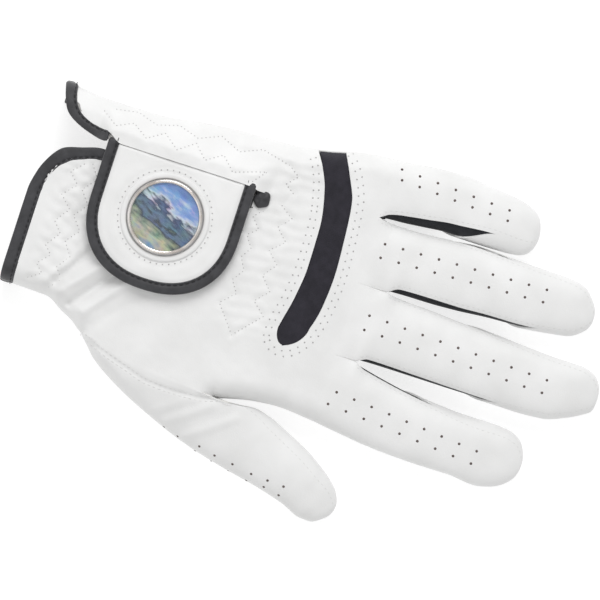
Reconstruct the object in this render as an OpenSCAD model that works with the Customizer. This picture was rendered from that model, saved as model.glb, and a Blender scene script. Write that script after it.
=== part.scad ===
// Golf glove for the left hand, lying palm down, with a closure tab that carries a ball marker.
// +Y runs from the cuff to the fingertips, +X towards the thumb, +Z out of the back of the hand.

/* [Leather] */
// Thickness of the leather
leather = 0.9; // [0.6:0.1:1.2]
// Height of the palm and wrist above the table
hand_h = 18; // [16:1:20]
// Height of the finger roots
root_h = 15; // [13:1:16]
// Height along the middle of a finger
finger_h = 13; // [11:1:14]
// Width of the rounded edge along the sides of the hand
edge_r = 8; // [6:1:9]
// Gap between two parts that move against each other
joint_gap = 0.35; // [0.3:0.05:0.5]

/* [Closure tab] */
// Reach of the tab from its root to its round end
tab_reach = 48.2; // [44:0.2:50]
// Width of the tab along the wrist
tab_w = 57; // [52:1:60]
// Width of the bound edge
binding_w = 4.3; // [3:0.1:5]
// Thickness of the bound edge
binding_t = 2.3; // [1.8:0.1:2.6]
// Thickness of each half of the hook and loop closure
closure_t = 0.95; // [0.8:0.05:1.2]

/* [Ball marker] */
// Outer diameter of the metal cup
marker_d = 27.6; // [26:0.2:28]
// Diameter of the printed disc under the dome
print_d = 25.2; // [24:0.2:25.2]
// Height of the cup
cup_h = 2.2; // [1.8:0.1:2.6]
// Rise of the clear dome over the print
dome_rise = 1.3; // [0.8:0.1:1.6]
// Diameter of the holding magnet
magnet_d = 12; // [8:1:16]

/* [Hidden] */

white = [0.94, 0.94, 0.93];
cream = [0.86, 0.84, 0.80];
black = [0.15, 0.15, 0.17];
charcoal = [0.18, 0.17, 0.20];
elastic_grey = [0.75, 0.75, 0.76];
silver = [0.75, 0.75, 0.77];

$fn = 64;
// From the middle of the back of the hand, where outlines are measured, to the bottom centre
datum = [-7.1, -4.1, 0];
seam_gap = 0.05;
root_line = 18.5;
side_seam = 45;
palm_seam = 20;
edge_keep = 0.08;
slit_r = 1.5;

// Edges of the hand as [y, x], with the thumb's opening along the radial side
ulnar_edge = [[-109, -52], [-101, -50], [-90, -49], [-70, -49.3], [-55, -51.5], [-40, -53],
    [-20, -54], [-8, -56], [2, -58.5], [10, -60], [root_line, -60.8]];
radial_edge = [[-109, 27], [-90, 27.5], [-83, 31], [-78, 33.5], [-74, 36.3], [-19, 44.2],
    [-14, 43], [-5, 41], [5, 40.2], [root_line, 41.3]];
// Width of the rounding on the radial side, which is a lip along the thumb's opening
radial_round = [[-109, edge_r], [-78, edge_r], [-74, slit_r], [-19, slit_r], [-14, edge_r],
    [10, edge_r], [root_line, edge_r]];
hand_height = [[-109, hand_h - 1], [-96, hand_h], [-10, hand_h], [root_line, root_h]];
cuff_end_y = -108.3;
cuff_y = -103.2;
heel_y = -78;
tape_t = 1.8;
tape_proud = 0.4;
heel_tape_w = 4.8;
elastic_t = 0.6;
elastic_depth = leather + 0.25;
hand_rows = [cuff_y, -96, -90, -84, heel_y - 1, heel_y, -74, -60, -45, -32, -19, -14, -5, 5, 12,
    root_line - 0.2];

// Finger outlines, each row as [y, ulnar x, radial x, height]
little_rows = [[27, -61.7, -38.2, 14], [35, -62.5, -39, finger_h], [45, -63, -40, finger_h],
    [55, -62, -40, finger_h], [66, -60.8, -40.2, 12.4], [72.5, -58.8, -41, 11], [75.6, -56, -43, 8.5],
    [77, -52.5, -46, 5], [77.4, -50.6, -47.8, 2.6]];
ring_rows = [[38, -38.3, -12.9, 14], [46, -39, -12.9, finger_h], [56, -39.5, -13.4, finger_h],
    [68, -39.2, -14.5, finger_h], [80, -38.9, -15.2, finger_h], [92, -38.7, -16.7, 12.4],
    [99, -37.5, -18, 11], [103, -34, -20.5, 8.5], [105.4, -30.5, -23.5, 5], [106, -28.4, -25.4, 2.6]];
middle_rows = [[38, -12.3, 15, 14], [48, -11.9, 15, finger_h], [60, -11.1, 15, finger_h],
    [74, -10.3, 14.9, finger_h], [88, -9.4, 14.9, finger_h], [99, -9, 14.2, 12.4],
    [107, -9, 11.4, 11], [112.6, -7.4, 8.4, 8.5], [116, -3, 5.6, 5], [116.5, -0.5, 3, 2.6]];
index_rows = [[38, 17.7, 43.8, 14], [48, 19.5, 44.5, finger_h], [60, 21, 44.8, finger_h],
    [72, 21.6, 44.7, finger_h], [82, 21.5, 45.6, 12.4], [88, 21.9, 44.4, 11.4], [93.4, 24, 41.4, 9],
    [96.4, 28.4, 37.6, 5.5], [97.2, 31.4, 34.6, 2.6]];
// Finger roots, which stay with the hand, as [y, ulnar x, radial x, height, rounding of each side]
little_root_rows = [[root_line, -60.8, -38.3, root_h, edge_r, 3], [22.5, -61.2, -38.2, 14.6, 7, 5],
    [27, -61.7, -38.2, 14, 7, 6.5]];
ring_root_rows = [[root_line, -37.3, -12.9, root_h, 3, 1.5], [24, -37.6, -12.9, 14.8, 5, 1.5],
    [30, -37.9, -12.9, 14.4, 6.5, 3], [38, -38.3, -12.9, 14, 6.5, 6.5]];
middle_root_rows = [[root_line, -12.4, 15, root_h, 1.5, 1.5], [26.5, -12.4, 15, 14.7, 1.5, 1.5],
    [30, -12.4, 15, 14.4, 3, 3.5], [38, -12.3, 15, 14, 6.5, 6.5]];
index_root_rows = [[root_line, 15.5, 41.3, root_h, 1.5, edge_r], [26.5, 15.7, 42.4, 14.7, 1.5, 7.5],
    [30, 16.1, 42.8, 14.4, 3.5, 7], [38, 17.7, 43.8, 14, 6.5, 6.5]];
// Thumb sections from its opening to its tip, as [hand side point, outer point, height]
thumb_rows = [[[44.2, -19], [36.3, -74], hand_h], [[44.4, -11], [44, -66.5], 17.2],
    [[43.3, -3.5], [52.5, -52.5], 16.5], [[45, 3.5], [58.5, -39], 15.6], [[47.3, 9], [64, -24], 14.8],
    [[50, 15], [68, -8.5], 14], [[53, 21], [71, 6], 13.5], [[56.5, 26.5], [74, 17], 13],
    [[60, 31.2], [77, 24.6], 11.4], [[63.6, 34.6], [77.2, 28.6], 8.6], [[68.4, 36.4], [74.4, 33.6], 4.6],
    [[70.4, 36.2], [73, 35], 2.4]];

// Lines across the back of the hand, as [x, y]
band_upper = [[-58, -1], [-50, 3], [-40, 7.2], [-28, 8.6], [-12, 9.5], [0, 8.7], [10, 6.3], [18, 1],
    [42, -3]];
band_lower = [[-58, -11], [-50, -7], [-42, -4], [-27, -1.3], [-12, -1], [0, -2.2], [10, -4.2],
    [18, -5.5], [42, -5]];
band_end_x = 17.8;
slit_end_y = -21.8;
slit_left = -33.4;
panel_split_y = -28;
ulnar_split_y = -12;
wrist_split_y = -76;
slit_tape_outer = [[-30.6, -28], [-30.6, -86], [-28.6, -94], [-26.6, -100], [-22, -104], [-15, -107],
    [-8, -108.2], [26.4, -108.2]];
slit_tape_inner = [[-26.4, -28], [-26.2, -86], [-24.6, -91.6], [-22.6, -95.8], [-19.6, -99.2],
    [-14.6, -101.6], [-8, -103.2], [26.4, -103.2]];
ulnar_tape_outer = [[-51.2, -107.2], [-45, -105.4], [-40, -103], [-37, -99], [-34.2, -92],
    [slit_left, -86]];
ulnar_tape_inner = [[-49.7, -102.6], [-45, -101], [-41.4, -98.6], [-39.2, -95.2], [-37.9, -90.6],
    [-37.4, -86]];

// The closure stack over the flat back of the wrist
tab_centre = [-13.6, -56.5];
tab_root_x = -34;
tab_z = hand_h + closure_t + joint_gap + 0.05;
lining_t = 0.6;
tab_leather_t = 1.2;
tab_power = 2.3;
lining_z = tab_z + closure_t;
seat_z = lining_z + lining_t;
seat_t = 0.6;
cup_z = seat_z + seat_t + joint_gap;
cup_floor = 0.8;
print_t = 0.2;
seat_clear = 0.4;
ring_w = 2.2;
ring_rise = 0.7;
anchor_w = 3;
web_row = 3;
web_inset = [0.4, -0.3, -0.9];

// Sections

function between(a, b, t) = a + (b - a) * t;
function unit(v) = v / norm(v);
function reversed(list) = [for (k = [len(list) - 1:-1:0]) list[k]];

// A section is [left point, right point, bottom, height, left rounding, right rounding]
function hand_section(y) = [[lookup(y, ulnar_edge), y], [lookup(y, radial_edge), y], 0,
    lookup(y, hand_height), edge_r, lookup(y, radial_round)];
function finger_section(row, y = undef) = let (at = is_undef(y) ? row[0] : y, h = row[3],
    round_r = min(0.48 * (row[2] - row[1]), 6.5))
    [[row[1], at], [row[2], at], lift_of(h), h, is_undef(row[4]) ? round_r : row[4],
    is_undef(row[5]) ? round_r : row[5]];
// A fingertip closes towards a point a little below the middle of its height
function lift_of(h) = h > 12.5 ? 0 : (12.5 - h) * 0.42;
function thumb_section(row) = let (w = norm(row[1] - row[0]), r = min(0.45 * w, 7))
    [row[0], row[1], lift_of(row[2]), row[2], r, r];

// A stop names a place round a section: its side, its angle up from the silhouette and its reach
function arc_stops(side, angles) = [for (a = angles) [side, a, 1]];
palm_stops = concat(arc_stops(-1, [-side_seam, -60, -75, -90]), arc_stops(1, [-90, -75, -60, -side_seam]));
back_stops = concat(arc_stops(1, [side_seam, 60, 75, 90]), [[1, 90, 0]],
    arc_stops(-1, [90, 75, 60, side_seam]));
radial_stops = arc_stops(1, [-side_seam, -22.5, 0, 22.5, side_seam]);
ulnar_stops = arc_stops(-1, [side_seam, 22.5, 0, -22.5, -side_seam]);
hand_palm_stops = concat(arc_stops(-1, [palm_seam, 0, -22.5, -45, -67.5, -90]),
    arc_stops(1, [-90, -67.5, -side_seam]));
hand_side_stops = arc_stops(1, [-side_seam, -22.5, 0, palm_seam]);
radial_wing_stops = arc_stops(1, [-90, -67.5, -side_seam, -22.5, 0, palm_seam]);
ulnar_wing_stops = arc_stops(-1, [palm_seam, 0, -22.5, -side_seam, -67.5, -90]);
radial_tape_stops = arc_stops(1, [-90, -67.5, -side_seam, -22.5, 0]);
ulnar_tape_stops = arc_stops(-1, [0, -22.5, -side_seam, -67.5, -90]);
heel_stops = [for (reach = [-0.985, -0.5, 0.5, 0.985]) [sign(reach), -90, abs(reach)]];

function section_point(s, stop, inset) = let (
    along = unit(s[1] - s[0]), mid = (s[0] + s[1]) / 2, half = norm(s[1] - s[0]) / 2,
    r = stop[0] < 0 ? s[4] : s[5], r_in = max(r - inset, 0.15), half_h = s[3] / 2 - inset,
    reach = stop[2] * (half - r) + r_in * cos(stop[1]), place = mid + along * stop[0] * reach)
    [place[0], place[1], s[2] + s[3] / 2 + half_h * sin(stop[1])];
function skin(sections, stops, inset) =
    [for (s = sections) [for (stop = stops) section_point(s, stop, inset)]];

// A closed wall between two grids of points, the outer one facing away from the inner one
module wall(outer, inner) {
    rows = len(outer);
    cols = len(outer[0]);
    inside = rows * cols;
    points = concat([for (row = outer) each row], [for (row = inner) each row]);
    function at(i, j) = i * cols + j;
    function quad(a, b, c, d) = [[a, b, c], [a, c, d]];
    faces = [
        for (i = [0:rows - 2], j = [0:cols - 2]) each quad(at(i, j), at(i, j + 1), at(i + 1, j + 1),
            at(i + 1, j)),
        for (i = [0:rows - 2], j = [0:cols - 2]) each quad(inside + at(i, j), inside + at(i + 1, j),
            inside + at(i + 1, j + 1), inside + at(i, j + 1)),
        for (i = [0:rows - 2]) each quad(at(i, 0), at(i + 1, 0), inside + at(i + 1, 0), inside + at(i, 0)),
        for (i = [0:rows - 2]) each quad(at(i, cols - 1), inside + at(i, cols - 1),
            inside + at(i + 1, cols - 1), at(i + 1, cols - 1)),
        for (j = [0:cols - 2]) each quad(at(0, j), inside + at(0, j), inside + at(0, j + 1), at(0, j + 1)),
        for (j = [0:cols - 2]) each quad(at(rows - 1, j), at(rows - 1, j + 1),
            inside + at(rows - 1, j + 1), inside + at(rows - 1, j))
    ];
    translate(datum) polyhedron(points, faces);
}

// A strip of leather along a run of sections
module strip(sections, stops, thick = leather) {
    wall(skin(sections, stops, 0), skin(sections, stops, thick));
}

// Height of the back of the hand
function edge_fall(d, r) = d >= r ? 1 : sqrt(1 - pow(1 - max(d / r, edge_keep), 2));
function back_z(x, y) = let (h = lookup(y, hand_height))
    h / 2 * (1 + edge_fall(x - lookup(y, ulnar_edge), edge_r)
    * edge_fall(lookup(y, radial_edge) - x, lookup(y, radial_round)));
function back_normal(x, y) = let (e = 0.05)
    unit([back_z(x - e, y) - back_z(x + e, y), back_z(x, y - e) - back_z(x, y + e), 2 * e]);
function on_back(p, depth) = [p[0], p[1], back_z(p[0], p[1])] - depth * back_normal(p[0], p[1]);

// A sheet that follows the back of the hand, over a grid of plan points
module back_sheet(grid, thick = leather, depth = 0) {
    wall([for (row = grid) [for (p = row) on_back(p, depth)]],
        [for (row = grid) [for (p = row) on_back(p, depth + thick)]]);
}

// Plan points of a panel that runs across the hand between two lines, and between two side edges
function across(low, high, left, right, shares, rows = 3) = [for (s = shares) [for (k = [0:rows])
    settle(low, high, left, right, s, k / rows, between(left[0][1], right[0][1], s), 5)]];
// A place in a panel, found by moving it along and across in turn until both its lines agree
function settle(low, high, left, right, s, t, x, turns) = let (
    y = between(lookup(x, low), lookup(x, high), t),
    next_x = between(lookup(y, left), lookup(y, right), s))
    turns == 0 ? [next_x, y] : settle(low, high, left, right, s, t, next_x, turns - 1);
function level(y) = [[-90, y], [90, y]];
function upright(x) = [[-120, x], [120, x]];
function inside_edge(edge, by) = [for (p = edge) [p[0], p[1] + by]];
ulnar_limit = inside_edge(ulnar_edge, edge_keep * edge_r);
radial_limit = [for (p = radial_edge) [p[0], p[1] - edge_keep * lookup(p[0], radial_round)]];
// The knuckle panel's columns stand on the corners of the band's line, and close together past its end
knuckle_shares = [0, 0.012, 0.035, 0.075, 0.12, 0.178, 0.24, 0.301, 0.38, 0.466, 0.53, 0.589, 0.64, 0.692,
    0.735, 0.76, 0.7695, 0.7775, 0.79, 0.82, 0.86, 0.92, 0.965, 0.988, 1];
half_shares = [0, 0.15, 0.3, 0.45, 0.6, 0.72, 0.82, 0.9, 0.96, 0.985, 1];
slit_shares = [0, 0.04, 0.085, 0.095, 0.2, 0.3, 0.4, 0.5, 0.6, 0.7, 0.8, 0.88, 0.94, 0.97, 1];
// Plan points between two tape edges
function tape(outer, inner, rows = 2) =
    [for (k = [0:len(outer) - 1]) [for (j = [0:rows]) between(outer[k], inner[k], j / rows)]];

// Hand

function sections_between(y0, y1) = [for (y = hand_rows) if (y >= y0 && y <= y1) hand_section(y)];
module palm_panel() { color(white) strip(sections_between(heel_y, root_line), hand_palm_stops); }
module index_side_panel() { color(white) strip(sections_between(-14.1, root_line), hand_side_stops); }
module wrist_side_panel() { color(white) strip(sections_between(cuff_y, heel_y - 1), radial_wing_stops); }
module ulnar_side_panel() { color(white) strip(sections_between(cuff_y, heel_y - 1), ulnar_wing_stops); }
module palm_binding() {
    color(black) {
        strip([hand_section(heel_y - heel_tape_w), hand_section(heel_y - seam_gap)], heel_stops, tape_t);
        strip([hand_section(cuff_end_y), hand_section(cuff_y - 2 * seam_gap)], radial_tape_stops, tape_t);
        strip([hand_section(cuff_end_y), hand_section(cuff_y - 2 * seam_gap)], ulnar_tape_stops, tape_t);
    }
}
// The panel's lower edge follows the band, steps down past its end and meets the back panel
module knuckle_panel() {
    lower_edge = concat([for (p = band_upper) if (p[0] < band_end_x) p + [0, 0.15]],
        [[band_end_x + 0.1, 1.3], [band_end_x + 0.5, -5.3], [42, -4.8]]);
    color(white) back_sheet(across(lower_edge, level(root_line - 0.2), ulnar_limit, radial_limit,
        knuckle_shares));
}
module knuckle_band() {
    shares = [0, 0.04, 0.1, 0.2, 0.3, 0.4, 0.5, 0.6, 0.7, 0.8, 0.9, 1];
    color(charcoal) back_sheet(across([for (p = band_lower) p + [0, 0.25]],
        [for (p = band_upper) p - [0, 0.2]],
        [[-12, -54.7], [10, -57.9]], [[-12, band_end_x], [10, band_end_x]], shares, 2));
}
module back_panel() {
    upper = [for (p = band_lower) if (p[0] > -30) p];
    color(white) {
        back_sheet(across([[-34, slit_end_y], [-27, slit_end_y], [-26, panel_split_y], [60, panel_split_y]],
            concat([[-40, -3.4]], upper), upright(slit_left + 0.15), radial_limit, slit_shares));
        back_sheet(across(level(wrist_split_y), level(panel_split_y - seam_gap), upright(-26.1),
            radial_limit,
            half_shares, 5));
    }
}
module wrist_panel() {
    cuff_edge = [[-26, -92.2], [-22, -94.8], [-19, -98.2], [-14.4, -100.9], [-8, -102.6], [30, -102.6]];
    slit_side = [[-104, -23.4], [-93, -23.8], [-86, -25.8], [-70, -26.1]];
    color(white) back_sheet(across(cuff_edge, level(wrist_split_y - seam_gap), slit_side, radial_limit,
        half_shares));
}
module ulnar_panel() {
    slit_side = [[slit_left, ulnar_split_y], [slit_left, -22], [slit_left, -50], [slit_left, -80],
        [-37.8, -86.2], [-38.4, -90.5], [-39.8, -94.8], [-42, -97.9], [-44.7, -99.8]];
    cuff_corner_y = -101.2;
    outer_side = [for (p = slit_side) let (y = p[1] < -90 ?
        between(-90, cuff_corner_y, (-90 - p[1]) / 9.8) : p[1]) [lookup(y, ulnar_limit), y]];
    color(white) {
        back_sheet([for (p = reversed([for (k = [0:len(slit_side) - 1]) [slit_side[k], outer_side[k]]]))
            [for (t = [0, 0.3, 0.55, 0.75, 0.88, 0.96, 1]) between(p[0], p[1], t)]]);
        back_sheet(across(level(ulnar_split_y + seam_gap), band_lower, ulnar_limit, upright(slit_left),
            [0, 0.04, 0.12, 0.25, 0.4, 0.5, 0.6, 0.7, 0.8, 0.9, 1], 2));
    }
}
// Elastic tapes sewn under the back of the hand
module inner_tape(low, high, left, right, shares, rows) {
    color(elastic_grey)
        back_sheet(across(level(low), level(high), left, right, shares, rows), elastic_t, elastic_depth);
}
module knuckle_elastic() { inner_tape(-27, -12, upright(-31), upright(18), [0:0.2:1], 1); }
module ulnar_elastic() { inner_tape(-84, -12, [[-90, -42], [0, -46]], upright(-35), [0, 0.5, 1], 4); }
module wrist_elastic() { inner_tape(-97, -83, upright(-19), upright(18), [0:0.25:1], 2); }
module back_tape(outer, inner) { color(black) back_sheet(tape(outer, inner), tape_t, -tape_proud); }
module slit_binding() { back_tape(slit_tape_outer, slit_tape_inner); }
module ulnar_binding() { back_tape(ulnar_tape_outer, ulnar_tape_inner); }

module slit_tack() {
    color(black) translate(datum + [0, 0, hand_h + 0.45]) linear_extrude(1) hull() {
        translate([-31, -24.4]) circle(3);
        translate([-34.4, -27.6]) square([7, 1]);
    }
}
module round_plate(x0, x1, y0, y1, r) {
    hull() for (x = [x0 + r, x1 - r], y = [y0 + r, y1 - r]) translate([x, y]) circle(r, $fn = 32);
}
module loop_patch() {
    color(white) translate(datum + [0, 0, hand_h + 0.03]) linear_extrude(closure_t)
        round_plate(-25.6, 8, -79, -34, 5);
}
module tab_anchor() {
    color(white) translate(datum + [tab_root_x - anchor_w - joint_gap, -86, hand_h + 0.03])
        cube([anchor_w, tab_w, tab_z + 1.8 - hand_h]);
}

// Fingers

module root_strip(rows, stops, from = 0) {
    last = len(rows) - 1;
    strip([for (k = [from:last])
        finger_section(rows[k], rows[k][0] - (k == last ? joint_gap / 2 : 0))], stops);
}
module moving_strip(rows, stops) {
    strip([for (k = [0:len(rows) - 1])
        finger_section(rows[k], rows[k][0] + (k == 0 ? joint_gap / 2 : 0))], stops);
}
wrap_radial_stops = concat(arc_stops(1, [-side_seam, -22.5, 0, 22.5]), back_stops);
wrap_ulnar_stops = concat(back_stops, arc_stops(-1, [22.5, 0, -22.5, -side_seam]));

module little_root_back() { color(white) root_strip(little_root_rows, wrap_ulnar_stops); }
module little_root_palm() { color(white) root_strip(little_root_rows, palm_stops); }
module ring_root_back() { color(white) root_strip(ring_root_rows, back_stops); }
module ring_root_palm() { color(white) root_strip(ring_root_rows, palm_stops); }
module middle_root_back() { color(white) root_strip(middle_root_rows, back_stops); }
module middle_root_palm() { color(white) root_strip(middle_root_rows, palm_stops); }
module index_root_back() { color(white) root_strip(index_root_rows, wrap_radial_stops); }
module index_root_palm() { color(white) root_strip(index_root_rows, palm_stops); }
module little_ring_gusset() {
    color(charcoal) {
        root_strip(little_root_rows, radial_stops);
        root_strip(ring_root_rows, ulnar_stops);
    }
}
module ring_middle_gusset() {
    color(charcoal) {
        root_strip(ring_root_rows, radial_stops, 2);
        root_strip(middle_root_rows, ulnar_stops, 2);
    }
}
module middle_index_gusset() {
    color(charcoal) {
        root_strip(middle_root_rows, radial_stops, 1);
        root_strip(index_root_rows, ulnar_stops, 1);
    }
}
module little_back() { color(white) moving_strip(little_rows, wrap_ulnar_stops); }
module little_palm() { color(white) moving_strip(little_rows, palm_stops); }
module little_gusset() { color(charcoal) moving_strip(little_rows, radial_stops); }
module ring_back() { color(white) moving_strip(ring_rows, back_stops); }
module ring_palm() { color(white) moving_strip(ring_rows, palm_stops); }
module ring_gusset_ulnar() { color(charcoal) moving_strip(ring_rows, ulnar_stops); }
module ring_gusset_radial() { color(charcoal) moving_strip(ring_rows, radial_stops); }
module middle_back() { color(white) moving_strip(middle_rows, back_stops); }
module middle_palm() { color(white) moving_strip(middle_rows, palm_stops); }
module middle_gusset_ulnar() { color(charcoal) moving_strip(middle_rows, ulnar_stops); }
module middle_gusset_radial() { color(charcoal) moving_strip(middle_rows, radial_stops); }
module index_back() { color(white) moving_strip(index_rows, wrap_radial_stops); }
module index_palm() { color(white) moving_strip(index_rows, palm_stops); }
module index_gusset() { color(charcoal) moving_strip(index_rows, ulnar_stops); }

// Thumb

module thumb_part(stops) {
    opening = unit(thumb_rows[0][0] - thumb_rows[0][1]);
    shift = joint_gap * [opening[1], -opening[0]];
    strip([for (k = [0:len(thumb_rows) - 1]) let (row = thumb_rows[k])
        thumb_section(k == 0 ? [row[0] + shift, row[1] + shift, row[2]] : row)], stops);
}
module thumb_back() { color(white) thumb_part(wrap_radial_stops); }
module thumb_palm() { color(white) thumb_part(palm_stops); }
// The inner side of the thumb, and the web between its opening and the hand
module thumb_strip() {
    web_top = [for (k = [0:web_row]) section_point(thumb_section(thumb_rows[k]), [-1, side_seam, 1], 0)];
    web_foot = [for (k = [0:web_row]) section_point(thumb_section(thumb_rows[k]), [-1, -side_seam, 1], 0)];
    foot_inset = [web_inset[0], web_inset[1], -web_inset[2]];
    outer = [for (k = [0:web_row]) [web_top[k] + web_inset, web_foot[k] + foot_inset]];
    color(white) {
        strip([for (k = [web_row:len(thumb_rows) - 1]) thumb_section(thumb_rows[k])], ulnar_stops);
        wall(outer, [for (row = outer) [for (p = row) p + [leather, 0, 0]]]);
    }
}

// Closure tab

function tab_outline(inset) = let (a = tab_reach + tab_root_x - tab_centre[0] - inset,
    b = tab_w / 2 - inset)
    concat([[tab_root_x, tab_centre[1] - b]],
    [for (t = [-90:7.5:90]) tab_centre
        + [a * pow(cos(t), 2 / tab_power), b * sign(t) * pow(abs(sin(t)), 2 / tab_power)]],
    [[tab_root_x, tab_centre[1] + b]]);
module tab_plate(z, thick, inset) {
    translate(datum + [0, 0, z]) linear_extrude(thick) polygon(tab_outline(inset));
}
module at_marker(z) { translate(datum + [tab_centre[0], tab_centre[1], z]) children(); }

module tab_leather() {
    color(white) difference() {
        tab_plate(seat_z, tab_leather_t, binding_w);
        at_marker(seat_z - 1) cylinder(h = tab_leather_t + 2, d = marker_d + 2 * seat_clear);
    }
}
module tab_lining() { color(cream) tab_plate(lining_z, lining_t, binding_w); }
module tab_binding() {
    color(black) difference() {
        tab_plate(lining_z - 0.15, binding_t, 0);
        translate(datum + [tab_root_x - 1, tab_centre[1] - tab_w / 2 + binding_w, 0])
            cube([1.01, tab_w - 2 * binding_w, 60]);
        tab_plate(lining_z - 1, binding_t + 2, binding_w);
    }
}
module hook_patch() {
    color(white) translate(datum + [0, 0, tab_z]) linear_extrude(closure_t)
        round_plate(-22, 4, -74.5, -38.5, 4);
}
module marker_seat() {
    color(silver) difference() {
        at_marker(seat_z) cylinder(h = seat_t, d = marker_d + 2 * seat_clear - 2 * seam_gap);
        at_marker(seat_z - 1) cylinder(h = seat_t + 2, d = magnet_d);
    }
}
module marker_magnet() { color(charcoal) at_marker(seat_z) cylinder(h = seat_t, d = magnet_d); }
module marker_ring() {
    ring_in = marker_d / 2 + seat_clear + 0.1;
    color(white) at_marker(seat_z + tab_leather_t) rotate_extrude() translate([ring_in, 0])
        polygon([[0, 0], [ring_w, 0], [ring_w - 0.2, 0.4], [ring_w - 0.7, ring_rise], [0.7, ring_rise],
            [0.2, 0.4]]);
}
module marker_cup() {
    color(silver) difference() {
        at_marker(cup_z) cylinder(h = cup_h, d = marker_d);
        at_marker(cup_z + cup_floor) cylinder(h = cup_h, d = print_d);
    }
}
module marker_print() {
    color("steelblue") at_marker(cup_z + cup_floor) cylinder(h = print_t, d = print_d);
}
module marker_dome() {
    rim = cup_h - cup_floor - print_t;
    sphere_r = (pow(print_d / 2, 2) + dome_rise * dome_rise) / (2 * dome_rise);
    widest = asin(print_d / 2 / sphere_r);
    arc = [for (a = [0:widest / 12:widest]) [sphere_r * sin(a), rim + dome_rise - sphere_r * (1 - cos(a))]];
    color([0.8, 0.9, 1, 0.5]) at_marker(cup_z + cup_floor + print_t) rotate_extrude()
        polygon(concat([[0, 0]], [[print_d / 2, 0]], reversed(arc)));
}

palm_panel();
ulnar_panel();
knuckle_panel();
knuckle_band();
back_panel();
wrist_panel();
index_side_panel();
wrist_side_panel();
ulnar_side_panel();
knuckle_elastic();
ulnar_elastic();
wrist_elastic();
slit_binding();
ulnar_binding();
palm_binding();
slit_tack();
loop_patch();
tab_anchor();
little_root_back();
little_root_palm();
ring_root_back();
ring_root_palm();
middle_root_back();
middle_root_palm();
index_root_back();
index_root_palm();
little_ring_gusset();
ring_middle_gusset();
middle_index_gusset();
little_back();
little_palm();
little_gusset();
ring_back();
ring_palm();
ring_gusset_ulnar();
ring_gusset_radial();
middle_back();
middle_palm();
middle_gusset_ulnar();
middle_gusset_radial();
index_back();
index_palm();
index_gusset();
thumb_back();
thumb_palm();
thumb_strip();
tab_leather();
tab_lining();
tab_binding();
hook_patch();
marker_seat();
marker_magnet();
marker_ring();
marker_cup();
marker_print();
marker_dome();
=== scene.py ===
# Golf glove for the left hand, lying palm down. Lengths are in millimetres until a mesh is made.
# Outlines are measured from the middle of the back of the hand: +Y runs to the fingertips, +X to the thumb
# and +Z out of the back.
import math

import bpy
import numpy as np
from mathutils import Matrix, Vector


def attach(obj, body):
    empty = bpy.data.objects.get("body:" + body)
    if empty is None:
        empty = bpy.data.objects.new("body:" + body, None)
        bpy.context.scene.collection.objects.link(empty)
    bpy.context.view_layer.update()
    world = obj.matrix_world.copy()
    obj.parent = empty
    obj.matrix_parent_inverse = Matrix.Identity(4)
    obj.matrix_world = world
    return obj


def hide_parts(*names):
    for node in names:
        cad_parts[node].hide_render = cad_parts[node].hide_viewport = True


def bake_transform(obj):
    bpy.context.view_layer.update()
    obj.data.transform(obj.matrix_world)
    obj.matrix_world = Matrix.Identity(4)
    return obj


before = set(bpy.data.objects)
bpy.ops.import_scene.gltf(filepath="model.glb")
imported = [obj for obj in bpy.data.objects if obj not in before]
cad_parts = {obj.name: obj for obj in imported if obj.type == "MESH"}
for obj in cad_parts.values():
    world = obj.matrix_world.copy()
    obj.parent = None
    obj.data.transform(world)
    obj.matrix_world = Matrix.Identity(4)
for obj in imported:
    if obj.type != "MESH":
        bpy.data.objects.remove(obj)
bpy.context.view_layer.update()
MM = 0.001
DATUM = np.array([-7.1, -4.1, 0.0])  # from the measured middle of the hand to the model's origin
ROLL = 8.0  # radius of the rounded sides of the hand
SEAM_IN = 0.64  # how far in from a side the back panels end
LEATHER_THICK = 0.85
TAPE_THICK = 1.8
THUMB_OPENING = [(44.2, -19), (36.3, -74)]
MARKER_X, MARKER_Y = -13.6, -56.5


def real(p):
    """A measured place in metres in the model's frame."""
    return Vector([float(v) * MM for v in np.array(p, float) + DATUM])


# Camera

LENS, SENSOR = 200, 36
VIEW_WIDTH = 222  # width of the view at the glove
MID_HEIGHT = 12

scene = bpy.context.scene
scene.view_settings.view_transform = "Standard"
camera = bpy.data.objects.new("camera", bpy.data.cameras.new("camera"))
scene.collection.objects.link(camera)
camera.data.lens = LENS
camera.data.sensor_width = SENSOR
camera.data.clip_start = 0.01
camera.location = real([0, 0, MID_HEIGHT + VIEW_WIDTH * LENS / SENSOR])
camera.rotation_euler = (0, 0, math.radians(108))
scene.camera = camera


# Materials

def node_material(name, colour, roughness, **inputs):
    """A material with its node tree, its shader and a maker of linked nodes."""
    m = bpy.data.materials.new(name)
    m.use_nodes = True
    shader = m.node_tree.nodes["Principled BSDF"]
    shader.inputs["Base Color"].default_value = (*colour, 1)
    shader.inputs["Roughness"].default_value = roughness
    m.diffuse_color = (*colour, 1)
    for key, value in inputs.items():
        shader.inputs[key.replace("_", " ")].default_value = value

    def add(kind, **settings):
        n = m.node_tree.nodes.new(kind)
        for key, value in settings.items():
            if key in n.inputs:
                socket = n.inputs[key]
                if isinstance(value, bpy.types.NodeSocket):
                    m.node_tree.links.new(value, socket)
                else:
                    socket.default_value = value
            else:
                setattr(n, key, value)
        return n

    def link(a, b):
        m.node_tree.links.new(a, b)

    return m, shader, add, link


def place(add):
    return add("ShaderNodeTexCoord").outputs["Object"]


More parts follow.
